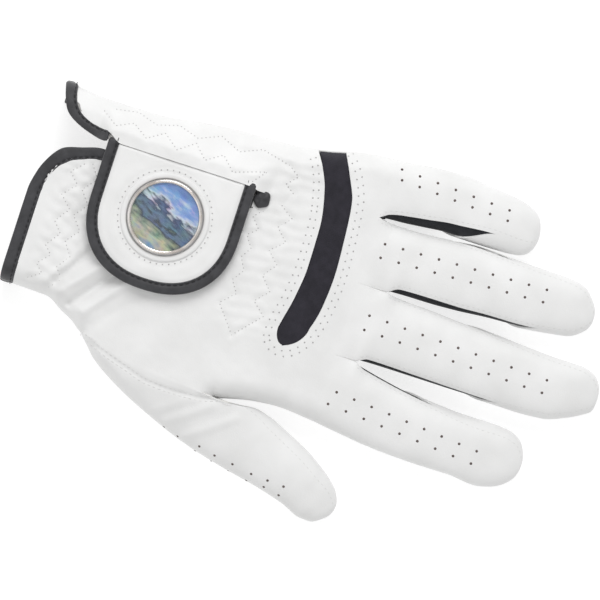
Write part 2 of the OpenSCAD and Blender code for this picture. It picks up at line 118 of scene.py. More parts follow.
def tinted(name, dark, light, roughness, size, grains, depth, spread=(0.3, 0.7), rough_swing=0.08, **inputs):
    """A material whose colour drifts between two tones, with bumps at several grain sizes in millimetres."""
    m, shader, add, link = node_material(name, light, roughness, **inputs)
    at = place(add)
    drift = add("ShaderNodeTexNoise", Vector=at, Scale=1000 / size, Detail=3.0)
    ramp = add("ShaderNodeValToRGB", Fac=drift.outputs["Fac"])
    ramp.color_ramp.elements[0].position, ramp.color_ramp.elements[1].position = spread
    ramp.color_ramp.elements[0].color = (*dark, 1)
    ramp.color_ramp.elements[1].color = (*light, 1)
    link(ramp.outputs["Color"], shader.inputs["Base Color"])
    rough = add("ShaderNodeMapRange", Value=drift.outputs["Fac"])
    rough.inputs["To Min"].default_value = roughness - rough_swing
    rough.inputs["To Max"].default_value = roughness + rough_swing
    link(rough.outputs["Result"], shader.inputs["Roughness"])
    normal = None
    for kind, grain, strength in grains:
        if kind == "cells":
            tex = add("ShaderNodeTexVoronoi", Vector=at, Scale=1000 / grain)
            out = tex.outputs["Distance"]
        elif kind == "weave":
            over = add("ShaderNodeMath", operation="MAXIMUM")
            for k, axis in enumerate("XY"):
                threads = add("ShaderNodeTexWave", Vector=at, Scale=1000 / grain / 3.14, bands_direction=axis,
                              Distortion=0.6)
                link(threads.outputs["Fac"], over.inputs[k])
            out = over.outputs[0]
        else:
            tex = add("ShaderNodeTexNoise", Vector=at, Scale=1000 / grain, Detail=2.0)
            out = tex.outputs["Fac"]
        bump = add("ShaderNodeBump", Strength=strength, Distance=depth * MM, Height=out)
        if normal:
            link(normal, bump.inputs["Normal"])
        normal = bump.outputs["Normal"]
    link(normal, shader.inputs["Normal"])
    return m


LEATHER = tinted("white_leather", (0.755, 0.755, 0.75), (0.815, 0.815, 0.812), 0.5, 14,
                 [("cells", 0.55, 0.22), ("noise", 2.2, 0.3)], 0.12, Specular_IOR_Level=0.35,
                 Sheen_Weight=0.08)
SUEDE = tinted("leather_flesh_side", (0.70, 0.69, 0.67), (0.78, 0.77, 0.75), 0.85, 5,
               [("noise", 0.5, 0.5)], 0.15, Specular_IOR_Level=0.15)
BINDING = tinted("black_binding", (0.022, 0.022, 0.025), (0.045, 0.045, 0.05), 0.55, 4,
                 [("weave", 0.45, 0.25), ("noise", 1.2, 0.3)], 0.1, Sheen_Weight=0.25, Specular_IOR_Level=0.4)
BAND = tinted("knuckle_elastic_band", (0.019, 0.018, 0.024), (0.030, 0.028, 0.037), 0.8, 3,
              [("weave", 0.62, 0.5)], 0.12, Sheen_Weight=0.12, Specular_IOR_Level=0.2)
GUSSET = tinted("stretch_gusset", (0.012, 0.013, 0.016), (0.022, 0.024, 0.028), 0.75, 3,
                [("weave", 0.4, 0.5)], 0.1, Sheen_Weight=0.2, Specular_IOR_Level=0.2)
INNER = tinted("inner_elastic", (0.45, 0.45, 0.46), (0.6, 0.6, 0.61), 0.85, 3, [("weave", 0.8, 0.7)], 0.2)
PILE = tinted("loop_pile", (0.60, 0.60, 0.59), (0.76, 0.76, 0.75), 0.95, 1.2,
              [("noise", 0.5, 1.0), ("cells", 0.7, 0.7)], 0.5, Sheen_Weight=0.4, Specular_IOR_Level=0.1)
HOOKS = tinted("hook_nylon", (0.62, 0.62, 0.61), (0.74, 0.74, 0.73), 0.4, 2, [("cells", 0.9, 0.3)], 0.2)
LINING = tinted("tab_lining", (0.62, 0.6, 0.56), (0.72, 0.7, 0.66), 0.85, 4, [("noise", 0.4, 0.5)], 0.15)
THREAD = tinted("white_thread", (0.66, 0.66, 0.65), (0.74, 0.74, 0.73), 0.6, 1, [("noise", 0.2, 0.4)], 0.05)
BLACK_THREAD = tinted("black_thread", (0.008, 0.008, 0.009), (0.016, 0.016, 0.018), 0.6, 1,
                      [("noise", 0.2, 0.4)], 0.05)
# Stitch holes are grey discs of painted shade, standing in for the shadow inside each hole
HOLE_SHADE = tinted("stitch_hole_painted_shade", (0.44, 0.435, 0.43), (0.52, 0.515, 0.51), 0.9, 1, [("noise", 0.2, 0.2)], 0.03)
# Air holes are brown-black discs of painted shade, standing in for the dark seen through each hole
PERFORATION_SHADE = tinted("perforation_painted_shade", (0.10, 0.075, 0.068), (0.17, 0.135, 0.125), 0.9, 1,
                     [("noise", 0.2, 0.2)], 0.03)
STEEL = tinted("seat_steel", (0.45, 0.45, 0.46), (0.58, 0.58, 0.59), 0.35, 3, [("noise", 0.3, 0.15)], 0.03,
               Metallic=1.0)
MAGNET = tinted("magnet", (0.10, 0.10, 0.11), (0.16, 0.16, 0.17), 0.45, 2, [("noise", 0.3, 0.3)], 0.05,
                Metallic=0.6)
METAL = tinted("marker_metal", (0.55, 0.50, 0.46), (0.78, 0.76, 0.74), 0.22, 6, [("noise", 0.3, 0.05)], 0.02,
               rough_swing=0.05, Metallic=1.0)


def print_material():
    """A painted disc in soft blue, navy, grey green and cream bands."""
    m, shader, add, link = node_material("marker_print", (0.2, 0.4, 0.7), 0.35)
    centre = real([MARKER_X, MARKER_Y, 0])
    moved = add("ShaderNodeMapping", Vector=place(add))
    moved.inputs["Location"].default_value = (-centre.x, -centre.y, 0)
    turned = add("ShaderNodeMapping", Vector=moved.outputs["Vector"])
    turned.inputs["Rotation"].default_value = (0, 0, math.radians(25))
    drawn_out = add("ShaderNodeMapping", Vector=turned.outputs["Vector"])
    drawn_out.inputs["Scale"].default_value = (70, 22, 22)
    streaks = add("ShaderNodeTexNoise", Vector=drawn_out.outputs["Vector"], Scale=6.0, Detail=5.0)
    clouds = add("ShaderNodeTexNoise", Vector=turned.outputs["Vector"], Scale=260.0, Detail=3.0)
    axes = add("ShaderNodeSeparateXYZ", Vector=turned.outputs["Vector"])
    across = add("ShaderNodeMath", operation="MULTIPLY_ADD")
    link(axes.outputs["X"], across.inputs[0])
    across.inputs[1].default_value = 34.0
    across.inputs[2].default_value = 0.16
    streaked = add("ShaderNodeMath", operation="MULTIPLY_ADD")
    link(streaks.outputs["Fac"], streaked.inputs[0])
    streaked.inputs[1].default_value = 0.62
    link(across.outputs[0], streaked.inputs[2])
    ramp = add("ShaderNodeValToRGB", Fac=streaked.outputs[0])
    stops = [(0.0, (0.10, 0.24, 0.62)), (0.22, (0.22, 0.42, 0.80)), (0.34, (0.72, 0.80, 0.90)),
             (0.42, (0.03, 0.06, 0.15)), (0.52, (0.12, 0.22, 0.36)), (0.60, (0.02, 0.04, 0.07)),
             (0.68, (0.22, 0.28, 0.22)), (0.80, (0.60, 0.60, 0.44)), (0.95, (0.16, 0.30, 0.58))]
    while len(ramp.color_ramp.elements) < len(stops):
        ramp.color_ramp.elements.new(0.5)
    for e, (spot, colour) in zip(ramp.color_ramp.elements, stops):
        e.position = spot
        e.color = (*colour, 1)
    mixed = add("ShaderNodeMix", data_type="RGBA", blend_type="OVERLAY")
    mixed.inputs["Factor"].default_value = 0.5
    link(ramp.outputs["Color"], mixed.inputs["A"])
    link(clouds.outputs["Color"], mixed.inputs["B"])
    link(mixed.outputs["Result"], shader.inputs["Base Color"])
    return m


PRINT = print_material()
DOME = node_material("clear_dome", (1.0, 1.0, 1.0), 0.02, Transmission_Weight=1.0, IOR=1.2,
                     Specular_IOR_Level=0.5, Coat_Weight=0.6, Coat_Roughness=0.02)[0]


# Curves and relief

def curve(table):
    """Rows of [t, a, b, ...] as a smooth function of t that never overshoots its rows."""
    table = np.array(table, float)
    t, v = table[:, 0], table[:, 1:]
    step = np.diff(t)[:, None]
    rise = np.diff(v, axis=0) / step
    slope = np.zeros_like(v)
    slope[0], slope[-1] = rise[0], rise[-1]
    same = rise[:-1] * rise[1:] > 0
    with np.errstate(divide="ignore", invalid="ignore"):
        mean = 3 * (step[:-1] + step[1:]) / ((2 * step[1:] + step[:-1]) / rise[:-1]
                                             + (step[1:] + 2 * step[:-1]) / rise[1:])
    slope[1:-1] = np.where(same, np.nan_to_num(mean), 0)

    def at(q):
        q = np.clip(np.asarray(q, float), t[0], t[-1])
        k = np.clip(np.searchsorted(t, q, side="right") - 1, 0, len(t) - 2)
        w = ((q - t[k]) / (t[k + 1] - t[k]))[..., None]
        span = (t[k + 1] - t[k])[..., None]
        out = ((1 + 2 * w) * (1 - w) ** 2 * v[k] + w * (1 - w) ** 2 * span * slope[k]
               + w * w * (3 - 2 * w) * v[k + 1] + w * w * (w - 1) * span * slope[k + 1])
        return out[..., 0] if v.shape[1] == 1 else out
    return at


def run_along(line):
    """Distance along a line at each of its points."""
    return np.concatenate([[0], np.cumsum(np.linalg.norm(np.diff(line, axis=0), axis=1))])


def along(at, run, line):
    """Points, or other rows of numbers, at distances along a line."""
    return np.column_stack([np.interp(at, run, line[:, k]) for k in range(line.shape[1])])


def path(points, step, rounded=True):
    """Points along a line at an even step, with its corners rounded if asked."""
    p = np.array(points, float)
    run = run_along(p)
    if rounded:
        p = curve(np.column_stack([run, p]))(np.linspace(0, run[-1], max(8, int(run[-1] / 0.2))))
        run = run_along(p)
    return along(np.linspace(0, run[-1], max(2, int(round(run[-1] / step)) + 1)), run, p)


def smooth(a, b, v):
    w = np.clip((np.asarray(v, float) - a) / (b - a), 0, 1)
    return w * w * (3 - 2 * w)


def ripple(x, y, size, seed):
    """Soft even noise of about unit height."""
    rng = np.random.default_rng(seed)
    total = 0
    for _ in range(9):
        turn, pace, phase = rng.uniform(0, 6.283), 6.283 / size * rng.uniform(0.6, 1.5), rng.uniform(0, 6.283)
        total = total + np.sin(pace * (x * math.cos(turn) + y * math.sin(turn)) + phase)
    return total / 3


def reach(x, y, line):
    """Distance from each place to a line through points."""
    p = np.array(line, float)
    best = np.full(np.shape(x), 1e9)
    for a, b in zip(p[:-1], p[1:]):
        d = b - a
        w = np.clip(((x - a[0]) * d[0] + (y - a[1]) * d[1]) / (d @ d), 0, 1)
        best = np.minimum(best, np.hypot(x - a[0] - w * d[0], y - a[1] - w * d[1]))
    return best


ULNAR = curve([[-109, -52], [-101, -50], [-90, -49], [-70, -49.3], [-55, -51.5], [-40, -53], [-20, -54],
               [-8, -56], [2, -58.5], [10, -60], [18.5, -60.8]])
RADIAL = curve([[-109, 27], [-90, 27.5], [-83, 31], [-78, 33.5], [-74, 36.3], [-19, 44.2], [-14, 43],
                [-5, 41], [5, 40.2], [18.5, 41.3]])
HEIGHT = curve([[-109, 17], [-96, 18], [-10, 18], [18.5, 15]])
BAND_UPPER = curve([[-58, -1], [-50, 3], [-40, 7.2], [-28, 8.6], [-12, 9.5], [0, 8.7], [10, 6.3], [18, 1],
                    [42, -3]])
BAND_LOWER = curve([[-58, -11], [-50, -7], [-42, -4], [-27, -1.3], [-12, -1], [0, -2.2], [10, -4.2],
                    [18, -5.5], [42, -5]])
ZIGZAGS = [
    [(20, -20), (10, -11), (5.5, -16), (0.5, -11.5), (-4.5, -16), (-9.5, -12), (-14, -16.5), (-18.5, -11.5),
     (-23, -16), (-27.5, -12), (-31, -17), (-36.5, -14.5), (-39, -18), (-43, -14.5), (-46, -19)],
    [(20, -20), (10, -28), (5, -23), (0.5, -26), (-4, -23), (-8.5, -25.5), (-12.5, -23), (-17, -26),
     (-20, -22.5), (-24, -26), (-27, -23)],
    [(-36, -30), (-41, -26), (-37, -38), (-42, -43), (-38, -49), (-43, -54), (-38.5, -60), (-43, -66),
     (-39, -72), (-43, -78), (-40, -84), (-44, -90)],
    [(-46, -19), (-48.5, -30), (-45, -38), (-48.5, -46), (-45, -54), (-47.5, -62), (-45, -70), (-47.5, -78),
     (-46, -86)],
    [(-24, -88), (-19, -84.5), (-14, -89), (-9, -85), (-4, -89), (1, -85), (6, -89), (11, -85.5), (16, -89),
     (20, -86), (24, -89.5)],
    [(-23, -91), (-19, -95), (-15, -91), (-10, -95.5), (-5.5, -91), (0, -95), (4, -91.5), (9.5, -95.5),
     (12.5, -92.5), (17, -96.5), (20, -93.5), (23, -98)],
]
ULNAR_ZIGZAGS = (2, 3)
# Folds across the radial side of the wrist, as [from, to, height, half width]
FOLDS = [((13, -62), (29, -75), 1.5, 1.9), ((10, -66), (27.5, -80.5), -2.4, 1.6), ((8, -71), (27, -87.5),
         1.8, 1.8), ((4, -77), (21, -88), -1.6, 1.7), ((12, -84), (24, -93), 0.9, 1.7), ((16, -55),
         (33, -70.5), -0.6, 2.4)]
THUMB_SEAM = [(43.5, -16), (46, -25), (46.5, -35), (46, -45), (44, -52), (41, -62), (38, -70), (36, -75)]


def edge_fall(d, r=ROLL):
    """Height of a rounded edge, from 0 at its rim to 1 where it is flat."""
    s = np.clip(d / r, 0, 1)
    return np.sqrt(np.clip(1 - (1 - s) ** 2, 0, 1))


def radial_gap(x, y):
    """Distance in from the radial side, which is open where the thumb joins it."""
    opening = np.minimum(*[np.hypot(x - a, y - b) for a, b in THUMB_OPENING])
    return np.where((y > -19) | (y < -74), RADIAL(y) - x, opening)


def bare_back(x, y):
    h = HEIGHT(y)
    return h / 2 * (1 + edge_fall(x - ULNAR(y)) * edge_fall(radial_gap(x, y)))


def relief(x, y):
    """Puckers, folds and seam grooves in the back of the hand."""
    z = 0.12 * ripple(x, y, 19, 3) + 0.025 * ripple(x, y, 6, 4)
    for k, line in enumerate(ZIGZAGS):
        d = reach(x, y, line)
        sunk = 0.18 if k in ULNAR_ZIGZAGS else 0.24
        z = z - sunk * np.exp(-(d / 0.8) ** 2) + 0.12 * np.exp(-((d - 2.2) / 1.3) ** 2)
    near_band = smooth(-32, -24, y) * (1 - smooth(-6, -3, y)) * (1 - smooth(12, 22, x)) * smooth(-54, -48, x)
    z = z + 0.1 * near_band * np.cos(2 * math.pi * (x + 0.12 * y) / 4.6 + 0.6 * ripple(x, y, 14, 8))
    strip = (1 - smooth(-36, -33, x)) * smooth(-104, -96, y) * (1 - smooth(-16, -8, y))
    z = z + 0.08 * strip * np.cos(2 * math.pi * y / 6.2 + 0.8 * ripple(x, y, 12, 9))
    cuff = smooth(-101, -96, y) * (1 - smooth(-86, -80, y)) * smooth(-26, -20, x)
    z = z + 0.16 * cuff * np.cos(2 * math.pi * (x - 0.3 * y) / 5.0 + 0.7 * ripple(x, y, 12, 10))
    for a, b, height, wide in FOLDS:
        z = z + height * np.exp(-(reach(x, y, [a, b]) / wide) ** 2)
    calm = smooth(SEAM_IN, 4.5, x - ULNAR(y)) * smooth(SEAM_IN, 3.5, radial_gap(x, y))
    calm = calm * smooth(0.2, 5, reach(x, y, THUMB_OPENING))
    return z * calm * (1 - smooth(12, 18.4, y))


def tab_root_rise(x, y):
    """The ulnar panel climbs over the sewn root of the closure tab."""
    return 4.35 * smooth(-47, -37.6, x) * smooth(-90.5, -85, y) * (1 - smooth(-29.5, -22, y))


def on_back(x, y, rise=None):
    z = bare_back(x, y) + relief(x, y)
    return z if rise is None else z + rise(x, y)


# Meshes

def mark_sharp(mesh, edges):
    """Mark these pairs of points as sharp edges."""
    wanted = {tuple(sorted(e)) for e in edges}
    layer = mesh.attributes.new("sharp_edge", "BOOLEAN", "EDGE")
    layer.data.foreach_set("value", [tuple(sorted(e.vertices)) in wanted for e in mesh.edges])


def mesh_object(name, verts, faces, material, sharp=()):
    """A smooth mesh from measured places in millimetres."""
    mesh = bpy.data.meshes.new(name)
    mesh.from_pydata(((np.asarray(verts, float) + DATUM) * MM).tolist(), [], faces)
    mesh.update()
    mesh.polygons.foreach_set("use_smooth", [True] * len(mesh.polygons))
    if sharp:
        mark_sharp(mesh, sharp)
    mesh.materials.append(material)
    o = bpy.data.objects.new(name, mesh)
    scene.collection.objects.link(o)
    return o


def grid_normals(g, outward):
    """Unit normals of a grid of points, on the side that faces outward."""
    n = np.cross(np.gradient(g, axis=0), np.gradient(g, axis=1))
    n = n / np.maximum(np.linalg.norm(n, axis=2, keepdims=True), 1e-9)
    return n * (1 if np.sum(n * outward) > 0 else -1)


def shell(name, outer, thick, material, outward=(0, 0, 1), lining=None):
    """A closed skin of even thickness behind a grid of points."""
    n = grid_normals(outer, np.asarray(outward, float))
    rows, cols = outer.shape[:2]
    verts = np.concatenate([outer.reshape(-1, 3), (outer - n * thick).reshape(-1, 3)])
    side_a, side_b = outer[1:, :-1] - outer[:-1, :-1], outer[:-1, 1:] - outer[:-1, :-1]
    turned = np.sum(np.cross(side_a, side_b) * n[:-1, :-1]) < 0
    index = np.arange(rows * cols).reshape(rows, cols)
    quads = np.stack([index[:-1, :-1], index[1:, :-1], index[1:, 1:], index[:-1, 1:]], -1).reshape(-1, 4)
    ring = np.concatenate([index[0, :-1], index[:-1, -1], index[-1, :0:-1], index[:0:-1, 0]])
    edge = np.stack([ring, np.roll(ring, -1)], -1)
    under = rows * cols
    wall = np.concatenate([edge, edge[:, ::-1] + under], 1)
    if turned:
        faces = np.concatenate([quads[:, ::-1], quads + under, wall[:, ::-1]])
    else:
        faces = np.concatenate([quads, quads[:, ::-1] + under, wall])
    o = mesh_object(name, verts, faces.tolist(), material, np.concatenate([edge, edge + under]).tolist())
    if lining:
        o.data.materials.append(lining)
        mark = np.zeros(len(o.data.polygons), int)
        mark[len(quads):2 * len(quads)] = 1
        o.data.polygons.foreach_set("material_index", mark)
    return o, n


def leather_shell(name, outer, outward=(0, 0, 1), thick=LEATHER_THICK):
    return shell(name, outer, thick, LEATHER, outward, SUEDE)


def shares(width, step, left=False, right=False):
    """Even shares of a width, with finer ones on a rounded side."""
    near = ROLL * (1 - np.cos(np.linspace(math.acos(1 - SEAM_IN / ROLL), math.pi / 2, 14))) - SEAM_IN
    start = near / width if left else np.array([0.0])
    end = 1 - near[::-1] / width if right else np.array([1.0])
    middle = np.linspace(start[-1], end[0], max(2, int(width / step)))
    return np.concatenate([start[:-1], middle, end[1:]])


def tube_faces(rings, count, loop=False):
    """Quads between rings of points, which close in a loop or have a face over each end."""
    faces = [[i * count + j, i * count + (j + 1) % count, (i + 1) % rings * count + (j + 1) % count,
              (i + 1) % rings * count + j] for i in range(rings if loop else rings - 1) for j in range(count)]
    if not loop:
        faces += [list(range(count))[::-1], [(rings - 1) * count + j for j in range(count)]]
    return faces


def squared(a, power):
    """A circle's cosine and sine, drawn out towards a square for a power under 1."""
    c, s = np.cos(a), np.sin(a)
    return np.sign(c) * np.abs(c) ** power, np.sign(s) * np.abs(s) ** power


class Skin:
    """A finished grid that stitches and holes are dropped on from above."""

    def __init__(self, outer, normals):
        keep = normals[..., 2] > 0.15
        self.p, self.n = outer[keep], normals[keep]

    def drop(self, x, y, lift=0.0):
        x, y = np.atleast_1d(x).astype(float), np.atleast_1d(y).astype(float)
        spots, norms = [], []
        for a, b in zip(x, y):
            k = np.argmin((self.p[:, 0] - a) ** 2 + (self.p[:, 1] - b) ** 2)
            p, n = self.p[k], self.n[k]
            z = p[2] - (n[0] * (a - p[0]) + n[1] * (b - p[1])) / n[2]
            spots.append(np.array([a, b, z]) + n * lift)
            norms.append(n)
        return np.array(spots), np.array(norms)


def many(name, spots, tangents, normals, shape, faces, material):
    """One mesh with a small shape at every spot, laid along its tangent and normal."""
    tangents, normals = np.broadcast_to(tangents, spots.shape), np.broadcast_to(normals, spots.shape)
    tangents = tangents - normals * np.sum(tangents * normals, 1, keepdims=True)
    tangents = tangents / np.maximum(np.linalg.norm(tangents, axis=1, keepdims=True), 1e-9)
    side = np.cross(normals, tangents)
    shape = np.asarray(shape, float)
    verts = (spots[:, None] + shape[None, :, 0:1] * tangents[:, None] + shape[None, :, 1:2] * side[:, None]
             + shape[None, :, 2:3] * normals[:, None]).reshape(-1, 3)
    all_faces = [[v + k * len(shape) for v in f] for k in range(len(spots)) for f in faces]
    return mesh_object(name, verts, all_faces, material)


def bead(length, radius, rings=4, sides=6):
    """A stitch: a stretched bead with pointed ends."""
    points = [(-length / 2, 0, 0)]
    for k in range(1, rings):
        a = math.pi * k / rings
        wide = radius * math.sin(a) ** 0.5
        points += [(-length / 2 * math.cos(a), wide * math.cos(b), wide * math.sin(b))
                   for b in (2 * math.pi * j / sides for j in range(sides))]
    points.append((length / 2, 0, 0))
    last, base = len(points) - 1, 1 + (rings - 2) * sides
    faces = [[0, 1 + (j + 1) % sides, 1 + j] for j in range(sides)]
    faces += [[1 + v for v in f] for f in tube_faces(rings - 1, sides)[:-2]]
    faces += [[last, base + j, base + (j + 1) % sides] for j in range(sides)]
    return points, faces


def dimple(radius, sides=10):
    """A round hole as a shallow closed lens, darkened with painted shade for the shadow inside the hole."""
    points = [(radius * math.cos(2 * math.pi * j / sides), radius * math.sin(2 * math.pi * j / sides), 0)
              for j in range(sides)] + [(0, 0, 0.03), (0, 0, -0.2)]
    faces = [[j, (j + 1) % sides, sides] for j in range(sides)]
    faces += [[(j + 1) % sides, j, sides + 1] for j in range(sides)]
    return points, faces


def tangent_of(line):
    t = np.gradient(line, axis=0)
    return t / np.maximum(np.linalg.norm(t, axis=1, keepdims=True), 1e-9)


def holes(name, skin, line, pitch, radius=0.3, rounded=True):
    """Stitch holes along a line, drawn as grey discs of painted shade."""
    flat = path(line, pitch, rounded)
    spots, norms = skin.drop(flat[:, 0], flat[:, 1], 0.05)
    return many(name, spots, tangent_of(spots), norms, *dimple(radius), HOLE_SHADE)


# Back of the hand

skins = {}


def ulnar_limit(y):
    return ULNAR(y) + SEAM_IN


def past_opening(y):
    """Distance along Y past the ends of the thumb's opening."""
    return np.maximum(np.maximum(y + 19, -74 - y), 0)


def radial_side(y, inset):
    """The radial side of a panel, which runs straight along the thumb's opening."""
    beyond = RADIAL(y) - inset * smooth(0, 3, past_opening(y))
    return np.where(past_opening(y) > 0, beyond, 36.3 + 7.9 * (y + 74) / 55)


def radial_limit(y):
    return radial_side(y, SEAM_IN)


def ride(o, *nodes, body="hand"):
    """Fix a piece to a body, in place of its CAD nodes."""
    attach(o, body)
    if nodes:
        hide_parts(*nodes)
    return o


def band_top(x):
    bulge = np.clip(1 - np.clip((x - 9) / 8.75, 0, 1) ** 1.7, 0, 1) ** (1 / 1.7)
    return np.where(x > 9, -1.2 + (BAND_UPPER(9.0) + 1.2) * bulge, BAND_UPPER(x))


def band_bottom(x):
    bulge = np.clip(1 - np.clip((x - 12) / 5.75, 0, 1) ** 2, 0, 1) ** 0.5
    return np.where(x > 12, -1.2 + (BAND_LOWER(12.0) + 1.2) * bulge, BAND_LOWER(x))


def with_finer(s, a, b, step):
    """Shares with extra ones between two of them."""
    return np.unique(np.concatenate([s, np.linspace(a, b, max(2, int((b - a) / step)))]))


def back_leather(key, x, y, *nodes, rise=None):
    """A leather panel of the back of the hand, kept as a skin for its stitching."""
    grid = np.stack([x, y, on_back(x, y, rise)], -1)
    panel, n = leather_shell(key + "_panel_leather", grid)
    skins[key] = Skin(grid, n)
    ride(panel, *nodes)


# Knuckle panel: above the band, and round the band's radial end
s = with_finer(shares(100, 0.8, True, True), 0.715, 0.757, 0.0015)
x = -58.5 + s * 99.2
for _ in range(6):
    low = band_top(x)
    x = ulnar_limit(low) + (radial_limit(low) - ulnar_limit(low)) * s
y = low[:, None] + (18.5 - low[:, None]) * np.linspace(0, 1, 27)
x = ulnar_limit(y) + (radial_limit(y) - ulnar_limit(y)) * s[:, None]
back_leather("knuckle", x, y, "knuckle_panel")

# Knuckle band, a little below the leather round it
k = np.linspace(0, 1, 20)
run = np.linspace(0, 1, 120)[:, None]
crown = 0.25 * np.sin(np.pi * k)[None, :] ** 0.7
x = -57 + 75.4 * run + 0 * k
for _ in range(8):
    y = band_bottom(x) - 0.7 + (band_top(x) - band_bottom(x) + 1.4) * k
    x = ulnar_limit(y) + 0.4 + (18.0 - ulnar_limit(y)) * run
outer = np.stack([x, y, bare_back(x, y) - 0.75 + crown + 0.05 * ripple(x, y, 9, 30)], -1)
ride(shell("knuckle_band_elastic", outer, 1.0, BAND)[0], "knuckle_band")

# Back panel, which runs on under the tab to the cuff
cuff_low = curve([[-33.5, -86], [-26, -93], [-22.4, -95.6], [-19.4, -99], [-14.6, -101.4], [-8, -103],
                  [30, -103]])
s = with_finer(shares(72, 0.62, False, True), 0.6, 0.70, 0.0021)
top_x, low_x = s * 74 - 33, s * 53 - 26
for _ in range(8):
    high, low = band_bottom(top_x), cuff_low(low_x)
    top_x = -33.4 + (radial_limit(high) + 33.4) * s
    low_x = -26.1 + (radial_limit(low) + 26.1) * s
y = low[:, None] + (high - low)[:, None] * np.linspace(0, 1, 169)
below_slit = 7.3 * (1 - smooth(-27.9, -27.1, y)) * (1 - s[:, None]) ** 8
x = -33.4 + (radial_limit(y) + 33.4) * s[:, None] + below_slit
back_leather("back", x, y, "back_panel", "wrist_panel")

# Ulnar panel, from the slit to the little finger's side
inner_side = curve([[-100.6, -44], [-98.5, -41.2], [-95.2, -39], [-90.7, -37.8], [-86.2, -37.2],
                    [-80, -34.15], [-50, -34.15], [-30, -34.1], [-26.5, -33.4], [0, -33.4]])
k = np.linspace(0, 1, 150)
s = shares(20, 0.6, True, False)
y = np.ones(len(s))[:, None] * (-101.5 + k * 101.5)
x = ulnar_limit(y) + (inner_side(y) - ulnar_limit(y)) * s[:, None]
y = -101.5 + (BAND_LOWER(x) + 101.5) * k
x = ulnar_limit(y) + (inner_side(y) - ulnar_limit(y)) * s[:, None]
foot = np.clip((-90 - y) / 11.5, 0, 1)
y = y + foot * 4.0 * (s[:, None] - 0.5) * 0.5
back_leather("ulnar", x, y, "ulnar_panel", rise=tab_root_rise)

# Inner elastics, clear of the puckers above them
for name, x0, x1, y0, y1, drop in (("knuckle_elastic", -31, 18, -27, -12, 1.85),
                                   ("ulnar_elastic", -45, -38.5, -84, -12, 1.85),
                                   ("wrist_elastic", -19, 18, -97, -83, 1.95)):
    x, y = np.meshgrid(np.linspace(x0, x1, int((x1 - x0) / 1.1)), np.linspace(y0, y1, int((y1 - y0) / 1.1)),
                       indexing="ij")
    z = bare_back(x, y) - drop + 0.08 * np.cos(2 * math.pi * y / 2.4)
    ride(shell(name + "_tape", np.stack([x, y, z], -1), 0.55, INNER)[0], name)


# Palm and sides

def side_point(y, edge, sign, angle):
    """A place on the rounded side of the hand, at an angle in degrees above its middle height."""
    a = np.radians(angle)
    return np.stack([edge(y) - sign * ROLL * (1 - np.cos(a)) + 0 * a, y + 0 * a,
                     HEIGHT(y) / 2 * (1 + np.sin(a))], -1)


SEAM = math.degrees(math.acos(1 - SEAM_IN / ROLL)) + 0.3  # where the back and the side of the hand meet
y = np.linspace(-78, 18.5, 110)[:, None]
wrap = side_point(y, ULNAR, -1, np.linspace(SEAM, -90, 16)[None, :])
left, right = ULNAR(y) + ROLL, radial_side(y, 2.34)
x = left + (right - left) * np.linspace(0, 1, 60)[None, 1:]
y = y + 0 * x
z = HEIGHT(y) / 2 * (1 - edge_fall(radial_gap(x, y)))
wrinkle = 0.25 * (1 + ripple(x, y, 16, 21)) * edge_fall(radial_gap(x, y), 4) ** 2
flat_part = np.stack([x, y, z + np.clip(wrinkle, 0, 0.6)], -1)
ride(leather_shell("palm_leather", np.concatenate([wrap, flat_part], 1), (0, 0, -1))[0], "palm_panel")
for name, edge, sign, low_y, high_y, rows, low_angle, count in (
        ("index_side", RADIAL, 1, -18.2, 18.5, 44, lambda v: -45 + 0 * v, 14),
        ("wrist_side", RADIAL, 1, -103.2, -74.6, 36, lambda v: -90 + 45 * smooth(-79, -78.3, v), 18),
        ("ulnar_side", ULNAR, -1, -103.2, -78.02, 32, lambda v: -90 + 0 * v, 18)):
    y = np.linspace(low_y, high_y, rows)[:, None]
    angles = low_angle(y) + (SEAM - low_angle(y)) * np.linspace(0, 1, count)[None, :]
    side = side_point(y, edge, sign, angles)
    ride(leather_shell(name + "_leather", side, (sign, 0, 0))[0], name + "_panel")


# Folded tapes

def ribbon(name, mid, half, normal, thick, lift):
    """A folded tape along a line, with soft sides and a shallow stitched groove."""
    sides = 44
    half, normal = np.broadcast_to(half, mid.shape), np.broadcast_to(normal, mid.shape)
    u, v = squared(np.linspace(0, 2 * math.pi, sides, endpoint=False), 0.55)
    v = np.where(v > 0, v - 0.34 * np.exp(-((u - 0.6) / 0.17) ** 2), v)
    shrink = np.ones((len(mid), 1, 1))
    shrink[[0, -1]] = 0.8
    verts = (mid[:, None] + half[:, None] * u[None, :, None] * shrink
             + normal[:, None] * (lift - thick / 2 + thick / 2 * v[None, :, None] * shrink))
    o = mesh_object(name, verts.reshape(-1, 3), tube_faces(len(mid), sides), BINDING)
    if np.sum(np.cross(half[0], mid[1] - mid[0]) * normal[0]) < 0:
        o.data.flip_normals()
    return o


def back_ribbon(name, outer, inner, rise=None):
    """A tape on the back of the hand between two outlines, with its stitches."""
    lift, slope_step = 0.45, 0.4
    run = run_along(outer)
    both = curve(np.column_stack([run, outer, inner]))(np.linspace(0, run[-1], int(run[-1] / 0.9)))
    mid, half = (both[:, :2] + both[:, 2:]) / 2, (both[:, 2:] - both[:, :2]) / 2
    x, y = mid.T
    tilt = (bare_back(x - slope_step, y) - bare_back(x + slope_step, y)) / (2 * slope_step)
    normal = np.stack([tilt, 0 * tilt, 1 + 0 * tilt], -1)
    normal /= np.linalg.norm(normal, axis=1, keepdims=True)
    mid = np.column_stack([mid, on_back(x, y, rise)])
    half = np.column_stack([half, 0 * x])
    half = half - normal * np.sum(half * normal, 1, keepdims=True)
    line = path(mid + half * 0.62 + normal * (lift - 0.05), 2.2, False)
    norms = along(np.linspace(0, 1, len(line)), np.linspace(0, 1, len(normal)), normal)
    ride(many(name + "_thread", line, tangent_of(line), norms, *bead(1.5, 0.17), BLACK_THREAD))
    return ribbon(name, mid, half, normal, TAPE_THICK, lift)


